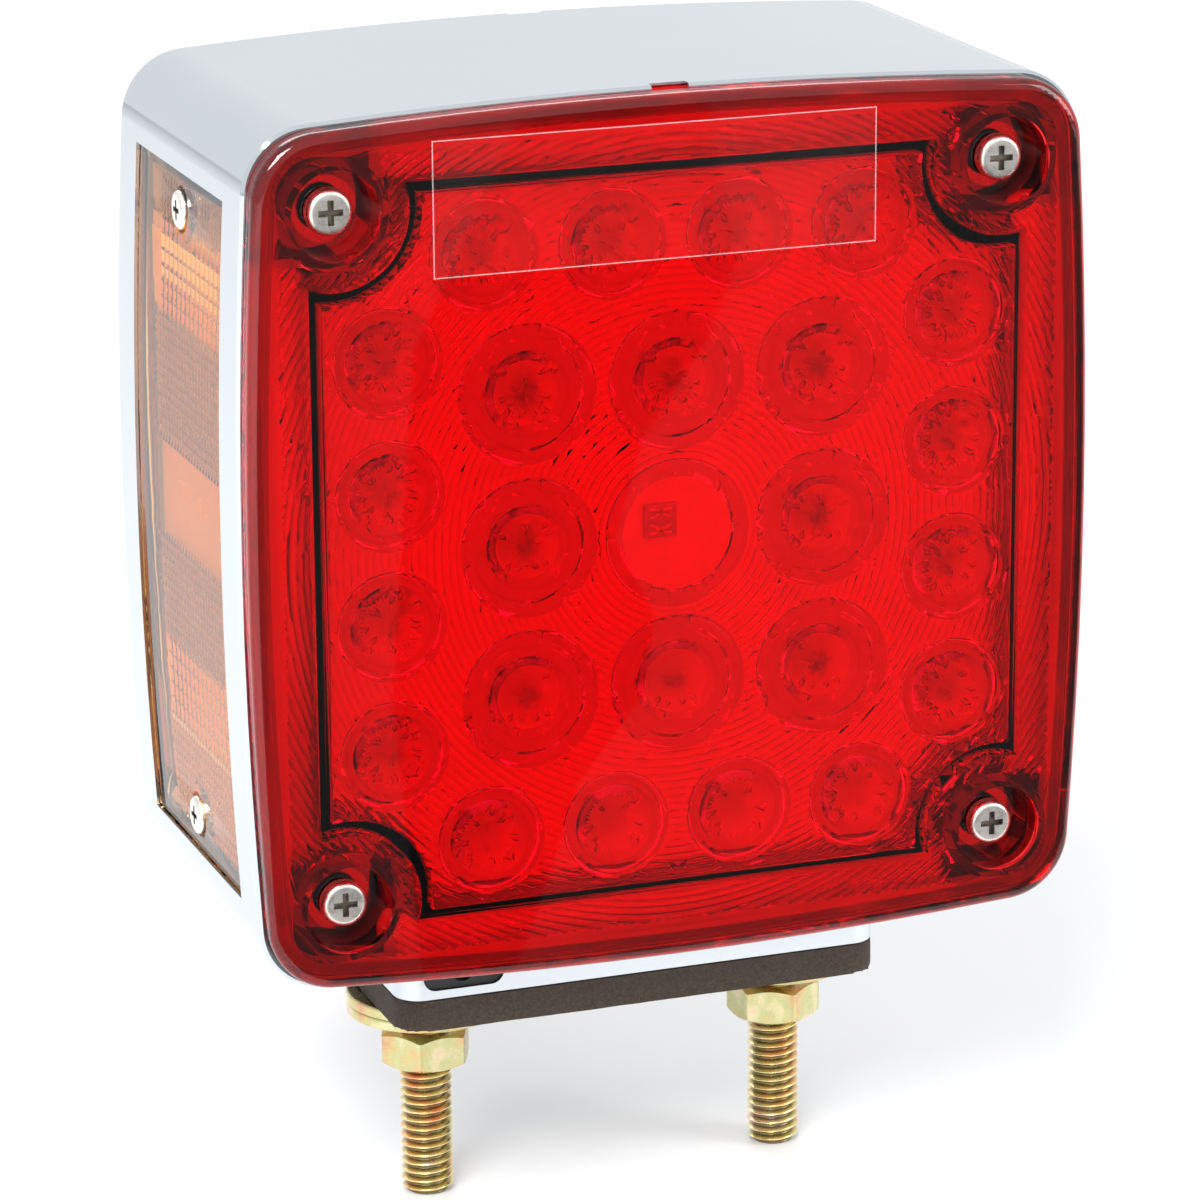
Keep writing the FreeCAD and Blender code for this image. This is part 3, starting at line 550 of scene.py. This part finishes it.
def refill(bm, patch, axis, inward, points, lines, height):
    """Swaps the faces of one smooth patch for a fine mesh standing height(u, v) inward of it.

    points are flat (u, v) pairs, and lines are pairs of indices into them that stay edges.
    """
    u, v = [i for i in (X, Y, Z) if i != axis]
    corners = list({c for f in patch for c in f.verts})
    number = {c: i for i, c in enumerate(corners)}
    old = BVHTree.FromPolygons([c.co.copy() for c in corners], [[number[c] for c in f.verts] for f in patch])
    ray = Vector((0, 0, 0))
    ray[axis] = inward
    facing = math.copysign(1.0, sum(f.normal[axis] for f in patch))

    def on_patch(a, b):
        start = Vector((0, 0, 0))
        start[u], start[v], start[axis] = a, b, -inward
        return old.ray_cast(start, ray)[0]

    edges = rim_of(patch)
    rim = list({c for e in edges for c in e.verts})
    order = {c: i for i, c in enumerate(rim)}
    starts = np.array([(e.verts[0].co[u], e.verts[0].co[v]) for e in edges])
    ends = np.array([(e.verts[1].co[u], e.verts[1].co[v]) for e in edges])
    points = np.array(points, float)
    keep = far_from(points, starts, ends, RIM_GAP)
    keep &= np.array([on_patch(a, b) is not None for a, b in points])
    lines = np.array([pair for pair in lines if keep[pair[0]] and keep[pair[1]]])
    middles = (points[lines[:, 0]] + points[lines[:, 1]]) / 2
    lines = lines[far_from(middles, starts, ends, RIM_GAP / 2)]
    place = np.cumsum(keep) - 1 + len(rim)
    flat = [Vector((c.co[u], c.co[v])) / MM for c in rim] + [Vector(p) / MM for p in points[keep]]
    fixed = [(order[e.verts[0]], order[e.verts[1]]) for e in edges]
    fixed += [(int(place[a]), int(place[b])) for a, b in lines]
    verts, _, faces, origins, _, _ = geometry.delaunay_2d_cdt(flat, fixed, [], 0, 1e-6)
    bmesh.ops.delete(bm, geom=patch, context="FACES")
    made = []
    for co, origin in zip(verts, origins):
        known = [i for i in origin if i < len(rim)]
        if known:
            made.append(rim[known[0]])
            continue
        a, b = co.x * MM, co.y * MM
        spot = on_patch(a, b)
        if spot is not None:
            spot[axis] += inward * height(a, b)
        made.append(bm.verts.new(spot) if spot is not None else None)
    for face in faces:
        centre = sum((verts[i] for i in face), Vector((0, 0))) / len(face) * MM
        ring = [made[i] for i in face]
        if None in ring or on_patch(centre.x, centre.y) is None:
            continue
        if facing_of(verts, face, axis) != facing:
            ring.reverse()
        if not bm.faces.get(ring):
            bm.faces.new(ring)


def facing_of(flat, face, axis):
    """Sign, along the axis, of the normal of a triangle listed in the flat (u, v) plane."""
    a, b, c = (flat[i] for i in face[:3])
    turn = (b - a).cross(c - a)
    sign = math.copysign(1.0, turn)
    return -sign if axis == Y else sign


# ==== the face lenses =======================================================================================
def optics():
    """(x, z, kind) of the 25 round optics in a face lens, from the lens centre."""
    found = []
    for i in (-1, 0, 1):
        for j in (-1, 0, 1):
            found.append((i * INNER_PITCH, j * INNER_PITCH, LARGE_OPTIC if i or j else CLEAR_OPTIC))
    for step in OUTER_STEPS:
        for sa in (-1, 1):
            for sb in (-1, 1):
                found.append((sa * step, sb * OUTER_RING, SMALL_OPTIC))
                found.append((sb * OUTER_RING, sa * step, SMALL_OPTIC))
    return found


def optic_radii(kind):
    """Radii of the rings of vertices that carry an optic's shape."""
    outer, ring, dome, _ = kind
    radii = [outer, outer - OPTIC_WALL, (outer + ring) / 2, ring + OPTIC_WALL, ring]
    if dome:
        radii += [(ring + dome) / 2, dome + OPTIC_WALL, dome]
        radii += [dome * math.sin(math.radians(a)) for a in (66, 54, 43, 33, 24, 15.5, 7.5)]
    else:
        radii += [ring * part for part in (0.75, 0.5, 0.25)]
    return radii


def optic_height(distance, kind):
    outer, ring, dome, sphere = kind
    if distance >= outer - 1e-7:
        return 0.0
    if distance > ring + OPTIC_WALL / 2:
        return min((outer - distance) / OPTIC_WALL, 1.0) * OPTIC_STEP
    if not dome:
        return 0.0
    if distance > dome + OPTIC_WALL / 2:
        return OPTIC_STEP - OPTIC_RING
    edge = math.sqrt(sphere ** 2 - dome ** 2)
    return OPTIC_STEP + math.sqrt(max(sphere ** 2 - distance ** 2, 0.0)) - edge


def groove_lines():
    """Points and lines of the circular ridges, three rings of points a ridge."""
    points, lines, heights = [], [], []
    count = int(GROOVE_REACH * math.sqrt(2) / GROOVE_PITCH)
    for k in range(6, count):
        for phase, top in ((0.0, 0.0), (0.5 - GROOVE_TIP, 1.0), (0.5 + GROOVE_TIP, 1.0)):
            radius = (k + phase) * GROOVE_PITCH
            sides = next(sides for reach, sides in GROOVE_SIDES if radius < reach)
            first = len(points)
            for i in range(sides):
                a = 2 * math.pi * i / sides
                points.append((radius * math.cos(a), radius * math.sin(a)))
                heights.append(top * GROOVE_DEPTH)
                lines.append((first + i, first + (i + 1) % sides))
    return points, lines, heights


def grooved(x, z, places):
    """Whether the plate is grooved at this place."""
    if max(abs(x), abs(z)) > GROOVE_REACH or min(abs(x), abs(z)) > PLAIN_CORNER:
        return False
    return all(math.hypot(x - ox, z - oz) > kind[0] + RIM_GAP for ox, oz, kind in places)


def guard_lines():
    """Polylines just outside the grooved area, where the plate is flat again."""
    edge, corner = GROOVE_REACH + RIM_GAP, PLAIN_CORNER + RIM_GAP
    count = int(2 * corner / GUARD_STEP)
    long = [-corner + 2 * corner * i / count for i in range(count + 1)]
    count = int((edge - corner) / GUARD_STEP)
    short = [corner + (edge - corner) * i / count for i in range(count + 1)]
    found = []
    for side in (-1, 1):
        found.append([(side * edge, b) for b in long])
        found.append([(a, side * edge) for a in long])
        for other in (-1, 1):
            found.append([(side * corner, other * b) for b in short])
            found.append([(other * b, side * corner) for b in short])
    return found


def lens_detail():
    """Flat points, kept lines and heights of everything moulded inside a face lens."""
    places = optics()
    raw_points, raw_lines, raw_heights = groove_lines()
    points, heights, number = [], [], {}
    for i, (x, z) in enumerate(raw_points):
        if grooved(x, z, places):
            number[i] = len(points)
            points.append((x, z))
            heights.append(raw_heights[i])
    lines = [(number[a], number[b]) for a, b in raw_lines if a in number and b in number]
    for guard in guard_lines():
        first = len(points)
        points += guard
        heights += [0.0] * len(guard)
        lines += [(first + i, first + i + 1) for i in range(len(guard) - 1)]
    for ox, oz, kind in places:
        for radius in optic_radii(kind):
            first = len(points)
            for i in range(OPTIC_SIDES):
                a = 2 * math.pi * i / OPTIC_SIDES
                points.append((ox + radius * math.cos(a), oz + radius * math.sin(a)))
                heights.append(optic_height(radius, kind))
                lines.append((first + i, first + (i + 1) % OPTIC_SIDES))
        points.append((ox, oz))
        heights.append(optic_height(0.0, kind))
    return points, lines, heights


def sort_lens_faces(bm, inner):
    """Material numbers of a face lens: 1 grooved, 2 domes, 3 rib and skirt, 4 rings, 5 the clear disc."""
    places = optics()
    for face in bm.faces:
        at = face.calc_center_median()
        x, z = at.x, at.z - LENS_Z
        depth = inner - max(abs(v.co.y) for v in face.verts)
        outside = max(abs(x), abs(z)) > GROOVE_REACH
        screw = math.hypot(abs(x) - SCREW_HALF, abs(z) - SCREW_HALF) < SCREW_TUBE
        if depth < -0.05 * MM or screw:
            continue
        rib = inner - abs(at.y) > RIB_FROM
        if outside or rib:
            face.material_index = 3 if rib or abs(face.normal.y) < 0.7 else 0
            continue
        reach, kind = min((math.hypot(x - ox, z - oz) - kind[0], kind) for ox, oz, kind in places)
        reach += kind[0]
        if reach > kind[0]:
            face.material_index = 1
        elif reach > max(kind[2], kind[1] * (kind is CLEAR_OPTIC)):
            face.material_index = 4
        else:
            face.material_index = 5 if kind is CLEAR_OPTIC else 2


def face_lens(name, node, inward, *materials):
    bm = copy_of(node)
    inner = LENS_FACE - LENS_PLATE
    patch = [f for f in bm.faces
             if abs(f.calc_center_median().y + inward * inner) < 0.02 * MM and abs(f.normal.y) > 0.99]
    points, lines, heights = lens_detail()
    lookup = {(round(x / MM, 4), round(z / MM, 4)): h for (x, z), h in zip(points, heights)}
    lifted = [(x, z + LENS_Z) for x, z in points]

    def height(x, z):
        return lookup.get((round(x / MM, 4), round((z - LENS_Z) / MM, 4)), 0.0)

    refill(bm, patch, Y, inward, lifted, lines, height)
    sort_lens_faces(bm, inner)
    piece = mesh_from(name, bm, flat_along=Y)
    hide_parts(node)
    return give(piece, "lamp", node, *materials)


FLANGE_BACK = (27.8 * MM, 28.6 * MM)


def tray_flanges(name, outward):
    """White strips beside the rib, under the grooved border of a face lens."""
    bm = bmesh.new()
    for turn in range(4):
        spin = Matrix.Rotation(math.radians(90 * turn), 3, "Y")
        corners = []
        for depth in FLANGE_BACK:
            ring = []
            for across, along in ((FLANGE[0], -PLAIN_CORNER), (FLANGE[1], -PLAIN_CORNER),
                                  (FLANGE[1], PLAIN_CORNER), (FLANGE[0], PLAIN_CORNER)):
                at = spin @ Vector((across, 0, along)) + Vector((0, outward * depth, LENS_Z))
                ring.append(bm.verts.new(at))
            corners.append(ring)
        skin(bm, corners, closed=False)
        bm.faces.new(corners[0][::-1])
        bm.faces.new(corners[1])
    bmesh.ops.recalc_face_normals(bm, faces=bm.faces)
    bmesh.ops.bevel(bm, geom=bm.edges, offset=0.12 * MM, segments=2, affect="EDGES")
    give(mesh_from(name, bm), "lamp", "white_plastic", WHITE_PLASTIC)


# ==== the side lens =========================================================================================
SIDE_PLATE = 2.4 * MM
BEAD_PITCH = 1.5 * MM
REFLEX_PITCH = 2.3 * MM
BEAD_HEIGHT = 0.45 * MM
SIDE_REACH = 19.3 * MM
# Moulded zones of the side lens: (low, high, pitch, height of a bead), from the lens centre.
SIDE_ZONES = ((-50 * MM, -33 * MM, BEAD_PITCH, BEAD_HEIGHT), (-33 * MM, -21 * MM, REFLEX_PITCH, BEAD_HEIGHT),
              (-21 * MM, -4.6 * MM, BEAD_PITCH, BEAD_HEIGHT), (-4.6 * MM, 9.7 * MM, BEAD_PITCH, 0.0),
              (9.7 * MM, 28.4 * MM, BEAD_PITCH, BEAD_HEIGHT), (28.4 * MM, 43 * MM, REFLEX_PITCH, BEAD_HEIGHT),
              (43 * MM, 50 * MM, BEAD_PITCH, 0.25 * BEAD_HEIGHT))


def side_detail():
    """Flat points, kept lines and heights of the beads: each a four-sided crown with sloped shoulders."""
    points, lines, heights = [], [], []
    for low, high, pitch, tall in SIDE_ZONES:
        rows = int((high - low) / pitch)
        columns = int((SIDE_REACH + BACK_STRIP) / pitch)
        for row in range(rows):
            for column in range(columns):
                y = -SIDE_REACH + (column + 0.5) * pitch
                z = low + (row + 0.5) * pitch
                add_bead(points, lines, heights, (y, z), pitch, tall)
    return points, lines, heights


def add_bead(points, lines, heights, centre, pitch, tall):
    y, z = centre
    for reach, height in ((0.46, 0.0), (0.30, 0.75 * tall)):
        first = len(points)
        for a, b in ((-1, -1), (1, -1), (1, 1), (-1, 1)):
            points.append((y + a * reach * pitch, z + b * reach * pitch))
            heights.append(height)
        lines += [(first + i, first + (i + 1) % 4) for i in range(4)]
    points.append(centre)
    heights.append(tall)


def side_lens():
    bm = copy_of("side_lens")
    shell = BVHTree.FromBMesh(bm)

    def behind_plate(face):
        at = face.calc_center_median()
        hit = shell.ray_cast(Vector((SIDE_LOW.x - MM, at.y, at.z)), Vector((1, 0, 0)))[0]
        return hit is not None and abs(at.x - hit.x - SIDE_PLATE) < 0.2 * MM

    patch = [f for f in bm.faces if f.normal.x > 0.9 and behind_plate(f)]
    points, lines, heights = side_detail()
    lookup = {(round(y / MM, 4), round(z / MM, 4)): h for (y, z), h in zip(points, heights)}
    lifted = [(y, z + LENS_Z) for y, z in points]

    def height(y, z):
        return lookup.get((round(y / MM, 4), round((z - LENS_Z) / MM, 4)), 0.0)

    refill(bm, patch, X, 1.0, lifted, lines, height)
    piece = weigh_normals(mesh_from("side_lens_moulding", bm))
    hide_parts("side_lens")
    return give(piece, "lamp", "side_amber", SIDE_AMBER)


# ==== fasteners on the studs ====================================================================================
THREAD_PITCH = 25.4 / 18 * MM
STUD_R = 3.96875 * MM
THREAD_ROOT = STUD_R - 0.6134 * THREAD_PITCH
THREAD_COLUMNS = 72
# One turn of the thread, as (share of a pitch, share of the thread's depth).
THREAD_FORM = ((0.0, 1.0), (0.08, 1.0), (0.13, 0.93), (0.40, 0.06), (0.45, 0.0), (0.63, 0.0), (0.68, 0.06),
               (0.95, 0.93))
TIP_CHAMFER = 1.0 * MM
HEX_FLATS = 12.7 * MM
HEX_SIDES = 96
HEX_FACE = 0.95                # the flat ring of a nut's face, against half its flats


def thread_radius(share, height):
    radius = THREAD_ROOT + share * (STUD_R - THREAD_ROOT)
    return min(radius, STUD_R - TIP_CHAMFER + (height - STUD_END))


def threaded_stud(name, side):
    x = STUD_X[side]
    bm = bmesh.new()
    top = CAD_STUD_HEAD
    rows_per_turn = len(THREAD_FORM)
    turns = int((top - STUD_END) / THREAD_PITCH) + 3
    columns = []
    for i in range(THREAD_COLUMNS):
        angle = 2 * math.pi * i / THREAD_COLUMNS
        column = []
        for row in range(turns * rows_per_turn):
            share, depth = THREAD_FORM[row % rows_per_turn]
            height = STUD_END - THREAD_PITCH + (row // rows_per_turn + share + i / THREAD_COLUMNS) * THREAD_PITCH
            height = min(max(height, STUD_END), top)
            radius = thread_radius(depth, height)
            column.append(bm.verts.new((x + radius * math.cos(angle), radius * math.sin(angle), height)))
        columns.append(column)
    for i in range(THREAD_COLUMNS):
        ahead = columns[(i + 1) % THREAD_COLUMNS]
        shift = rows_per_turn if i == THREAD_COLUMNS - 1 else 0
        for row in range(turns * rows_per_turn - 1 - shift):
            bm.faces.new((columns[i][row], ahead[row + shift], ahead[row + 1 + shift], columns[i][row + 1]))
    bmesh.ops.remove_doubles(bm, verts=bm.verts, dist=0.001 * MM)
    bmesh.ops.holes_fill(bm, edges=[e for e in bm.edges if e.is_boundary], sides=0)
    hex_prism(bm, x, top, STUD_TOP, 30.0, 0.0)
    bmesh.ops.recalc_face_normals(bm, faces=bm.faces)
    piece = mesh_from(name, bm, 40.0)
    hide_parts("stud_" + side)
    zinc = surface("yellow_zinc_thread_" + side, THREAD_GOLD, 150, (0.20, 0.34), 500, 0.10, 1500, Metallic=1.0)
    return give(piece, "lamp", "yellow_zinc", thread_shade(zinc, x, THREAD_ROOT, STUD_R))


def hex_radius(angle, corner_deg, flats=HEX_FLATS):
    off = (math.degrees(angle) - corner_deg) % 60 - 30
    return flats / 2 / math.cos(math.radians(off))


def hex_prism(bm, x, low, high, corner_deg, bore):
    """Hexagon nut or bolt head with chamfered corners; bore 0 leaves it solid."""
    face = HEX_FLATS / 2 * HEX_FACE
    slope = math.tan(math.radians(30))
    rings = []

    def ring(radius_at, height_at):
        made = []
        for i in range(HEX_SIDES):
            a = math.radians(corner_deg) + 2 * math.pi * i / HEX_SIDES
            r = radius_at(a)
            made.append(bm.verts.new((x + r * math.cos(a), r * math.sin(a), height_at(r))))
        rings.append(made)

    def outline(a):
        return min(hex_radius(a, corner_deg), HEX_FLATS / math.sqrt(3) - 0.12 * MM)

    if bore:
        ring(lambda a: bore, lambda r: (low + high) / 2)
        ring(lambda a: bore, lambda r: low + 0.5 * MM)
        ring(lambda a: bore + 0.5 * MM, lambda r: low)
    ring(lambda a: face, lambda r: low)
    ring(outline, lambda r: low + (r - face) * slope)
    ring(outline, lambda r: high - (r - face) * slope)
    ring(lambda a: face, lambda r: high)
    if bore:
        ring(lambda a: bore + 0.5 * MM, lambda r: high)
        ring(lambda a: bore, lambda r: high - 0.5 * MM)
    skin(bm, rings, closed=bool(bore))
    if not bore:
        bm.faces.new(rings[0][::-1])
        bm.faces.new(rings[-1])


def nut(side, corner_deg):
    low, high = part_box("nut_" + side)
    bm = bmesh.new()
    hex_prism(bm, STUD_X[side], low.z, high.z, corner_deg, STUD_R + 0.05 * MM)
    bmesh.ops.recalc_face_normals(bm, faces=bm.faces)
    piece = weigh_normals(mesh_from("nut_body_" + side, bm, 24.0))
    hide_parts("nut_" + side)
    return give(piece, "nut_" + side, "yellow_zinc", YELLOW_ZINC)


def washer(side, place):
    node = "washer_" + place + "_" + side
    low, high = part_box(node)
    radius = (high.x - low.x) / 2
    hole = 4.6 * MM
    soft = 0.35 * MM
    edge = 0.12 * MM
    outline = [(hole, low.z + edge), (hole + edge, low.z), (radius - edge, low.z), (radius, low.z + edge)]
    for part in (0, 30, 60, 90):
        a = math.radians(part)
        outline.append((radius - soft * (1 - math.cos(a)), high.z - soft * (1 - math.sin(a))))
    outline += [(hole + soft, high.z), (hole + soft * 0.3, high.z - soft * 0.3), (hole, high.z - soft)]
    bm = bmesh.new()
    turned(bm, (STUD_X[side], 0), outline, 96)
    bmesh.ops.recalc_face_normals(bm, faces=bm.faces)
    piece = weigh_normals(mesh_from("washer_ring_" + place + "_" + side, bm))
    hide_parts(node)
    return give(piece, "washers_" + side, "yellow_zinc", YELLOW_ZINC)


# ==== small parts: screws, LEDs, pad, label =====================================================================
CROSS_REACH = 2.0 * MM
CROSS_DEPTH = 1.4 * MM
SCREW_SHARP_DEG = 70.0
LED_HALF = 2.5 * MM
LED_BODY_HEIGHT = 0.9 * MM
LED_DOME_R = 1.6 * MM
LEAD_LIFT = 0.03 * MM
LEAD_PLACE = 1.2 * MM
LEAD_REACH = 1.7 * MM
LEAD_SWING = 0.6 * MM
LEAD_HALF = 0.2 * MM
FILM_GAP = 0.03 * MM
FILM_BORDER = 0.16 * MM


def parts_of(bm):
    """The connected pieces of a mesh, as lists of vertices."""
    seen = set()
    groups = []
    for start in bm.verts:
        if start in seen:
            continue
        seen.add(start)
        waiting, group = [start], []
        while waiting:
            vert = waiting.pop()
            group.append(vert)
            fresh = {e.other_vert(vert) for e in vert.link_edges} - seen
            seen |= fresh
            waiting += fresh
        groups.append(group)
    return groups


def middle_of(group, axis):
    spread = [v.co[axis] for v in group]
    return (min(spread) + max(spread)) / 2


def screws(name, node, axis, outward):
    """Screws whose cross recess is painted darker, as painted shade, and rougher."""
    bm = copy_of(node)
    flat = [i for i in (X, Y, Z) if i != axis]
    for group in parts_of(bm):
        middle = [middle_of(group, i) for i in flat]
        top = max(outward * v.co[axis] for v in group)
        for face in {f for v in group for f in v.link_faces}:
            face.tag = False
            at = face.calc_center_median()
            reach = math.hypot(at[flat[0]] - middle[0], at[flat[1]] - middle[1])
            if reach < CROSS_REACH and 0.12 * MM < top - outward * at[axis] < CROSS_DEPTH:
                face.material_index = 1
                face.tag = True
    piece = mesh_from(name, bm, SCREW_SHARP_DEG)
    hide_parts(node)
    return give(piece, "lamp", "steel_screw", NICKEL, NICKEL_SHADE)


def led_package(bm, centre, across, up, out):
    """One LED: a white body with softened edges, a clear dome and gold leads shaped like two crosses."""
    def at(a, b, c):
        return centre + across * a + up * b + out * c

    rings = []
    for inset, height in ((0.0, 0.0), (0.0, 0.7), (0.12, 0.94), (0.35, 1.0)):
        half = LED_HALF - inset * LED_BODY_HEIGHT
        corners = ((-1, -1), (1, -1), (1, 1), (-1, 1))
        rings.append([bm.verts.new(at(a * half, b * half, height * LED_BODY_HEIGHT)) for a, b in corners])
    skin(bm, rings, closed=False)
    bm.faces.new(rings[0][::-1])
    bm.faces.new(rings[-1])
    for side in (-1, 1):
        for turn in (-1, 1):
            arm(bm, at, side * LEAD_PLACE, turn)
    dome = []
    for step in range(7):
        a = math.radians(84 * step / 6)
        radius, height = LED_DOME_R * math.cos(a), LED_BODY_HEIGHT + LED_DOME_R * math.sin(a)
        dome.append([bm.verts.new(at(radius * math.cos(t), radius * math.sin(t), height))
                     for t in [2 * math.pi * i / 20 for i in range(20)]])
    first = len(bm.faces)
    skin(bm, dome, closed=False)
    bm.faces.new(dome[-1])
    bm.faces.ensure_lookup_table()
    for face in bm.faces[first:]:
        face.material_index = 2


def arm(bm, at, middle, turn):
    """One bent arm of a lead, a strip that swings across the body."""
    left, right = [], []
    for step in range(9):
        part = -1 + step / 4
        a = part * LEAD_REACH
        b = middle + turn * LEAD_SWING * (part + 0.4 * math.sin(part * math.pi))
        left.append(bm.verts.new(at(a, b - LEAD_HALF, LED_BODY_HEIGHT + LEAD_LIFT)))
        right.append(bm.verts.new(at(a, b + LEAD_HALF, LED_BODY_HEIGHT + LEAD_LIFT)))
    for i in range(8):
        face = bm.faces.new((left[i], left[i + 1], right[i + 1], right[i]))
        face.material_index = 1


def leds(name, node, out):
    """New packages on every place where the CAD has an LED."""
    source = copy_of(node)
    out = Vector(out)
    up = Vector((0, 0, 1))
    across = up.cross(out)
    axis = max((X, Y, Z), key=lambda i: abs(out[i]))
    bm = bmesh.new()
    for group in parts_of(source):
        centre = Vector([middle_of(group, i) for i in (X, Y, Z)])
        centre[axis] = min(v.co[axis] * out[axis] for v in group) * out[axis]
        led_package(bm, centre, across, up, out)
    source.free()
    piece = mesh_from(name, bm, 40.0)
    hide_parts(node)
    return give(piece, "lamp", "led_clear", LED_BODY, LED_GOLD, LED_RESIN)


def leds_side():
    """The two side LEDs keep their CAD shape."""
    frame["nodes"]["side_leds"].data.materials[0] = SIDE_LED


def pad():
    """The foam pad, with a slightly uneven cut edge."""
    source = link("pad_source", frame["nodes"]["rubber_pad"].data.copy())
    source.matrix_world = frame["nodes"]["rubber_pad"].matrix_world
    remesh = source.modifiers.new("remesh", "REMESH")
    remesh.mode = "VOXEL"
    remesh.voxel_size = 0.6 * MM
    mesh = bpy.data.meshes.new_from_object(source.evaluated_get(bpy.context.evaluated_depsgraph_get()))
    bpy.data.objects.remove(source)
    bm = bmesh.new()
    bm.from_mesh(mesh)
    bm.normal_update()
    for vert in bm.verts:
        coarse = noise.noise(vert.co / (6 * MM)) + 0.5 * noise.noise(vert.co / (1.5 * MM))
        vert.co -= vert.normal * (0.10 + 0.07 * coarse) * MM
    piece = mesh_from("foam_pad", bm, 50.0)
    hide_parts("rubber_pad")
    return give(piece, "lamp", "pad_rubber", PAD_FOAM)


def label():
    """The clear film, whose cut border catches the light."""
    low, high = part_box("clear_label")
    bm = bmesh.new()
    rings = []
    for inset, y in ((0.0, high.y - FILM_GAP), (0.0, low.y), (FILM_BORDER, low.y)):
        corners = ((low.x + inset, low.z + inset), (high.x - inset, low.z + inset),
                   (high.x - inset, high.z - inset), (low.x + inset, high.z - inset))
        rings.append([bm.verts.new((x, y, z)) for x, z in corners])
    skin(bm, rings, closed=False)
    for face in bm.faces:
        face.material_index = 1
    bm.faces.new(rings[0][::-1])
    bm.faces.new(rings[-1])
    bmesh.ops.recalc_face_normals(bm, faces=bm.faces)
    piece = mesh_from("film_label", bm)
    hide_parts("clear_label")
    return give(piece, "lamp", "clear_film", FILM, FILM_EDGE)


# ==== making everything =========================================================================================
CAD_STUD_HEAD = STUD_TOP - 5.2 * MM
NUT_CORNERS = {"left": -54.3, "right": -84.6}

NODE_MATERIALS = {
    CHROME: ["housing"],
    BASE_ZINC: ["base_plate"],
    NICKEL: ["base_screws"],
    BLACK_RUBBER: ["wire_grommet", "red_gasket", "amber_gasket", "side_gasket"],
    WHITE_PLASTIC: ["red_tray", "amber_tray", "side_tray", "upper_reflex_back", "lower_reflex_back"],
    SOLDER_MASK: ["red_board", "amber_board", "side_board"],
    PART_BLACK: ["red_board_parts", "amber_board_parts"],
}


def finish_nodes():
    for material, nodes in NODE_MATERIALS.items():
        for node in nodes:
            frame["nodes"][node].data.materials[0] = material


def main():
    make_camera()
    make_studio()
    finish_nodes()
    face_lens("red_lens_moulding", "red_lens", 1.0, RED_PLASTIC, RED_INSIDE, RED_DOME, RED_WALL,
              RED_RING, RED_DISC)
    face_lens("amber_lens_moulding", "amber_lens", -1.0, AMBER_PLASTIC, AMBER_INSIDE, AMBER_DOME,
              AMBER_WALL, AMBER_RING, AMBER_DISC)
    tray_flanges("red_tray_flanges", -1.0)
    tray_flanges("amber_tray_flanges", 1.0)
    side_lens()
    screws("red_lens_pan_heads", "red_lens_screws", Y, -1.0)
    screws("amber_lens_pan_heads", "amber_lens_screws", Y, 1.0)
    screws("side_lens_pan_heads", "side_lens_screws", X, -1.0)
    leds("red_led_packages", "red_leds", (0, -1, 0))
    leds("amber_led_packages", "amber_leds", (0, 1, 0))
    leds_side()
    pad()
    label()
    for side in ("left", "right"):
        threaded_stud("stud_thread_" + side, side)
        nut(side, NUT_CORNERS[side])
        washer(side, "upper")
        washer(side, "lower")


main()
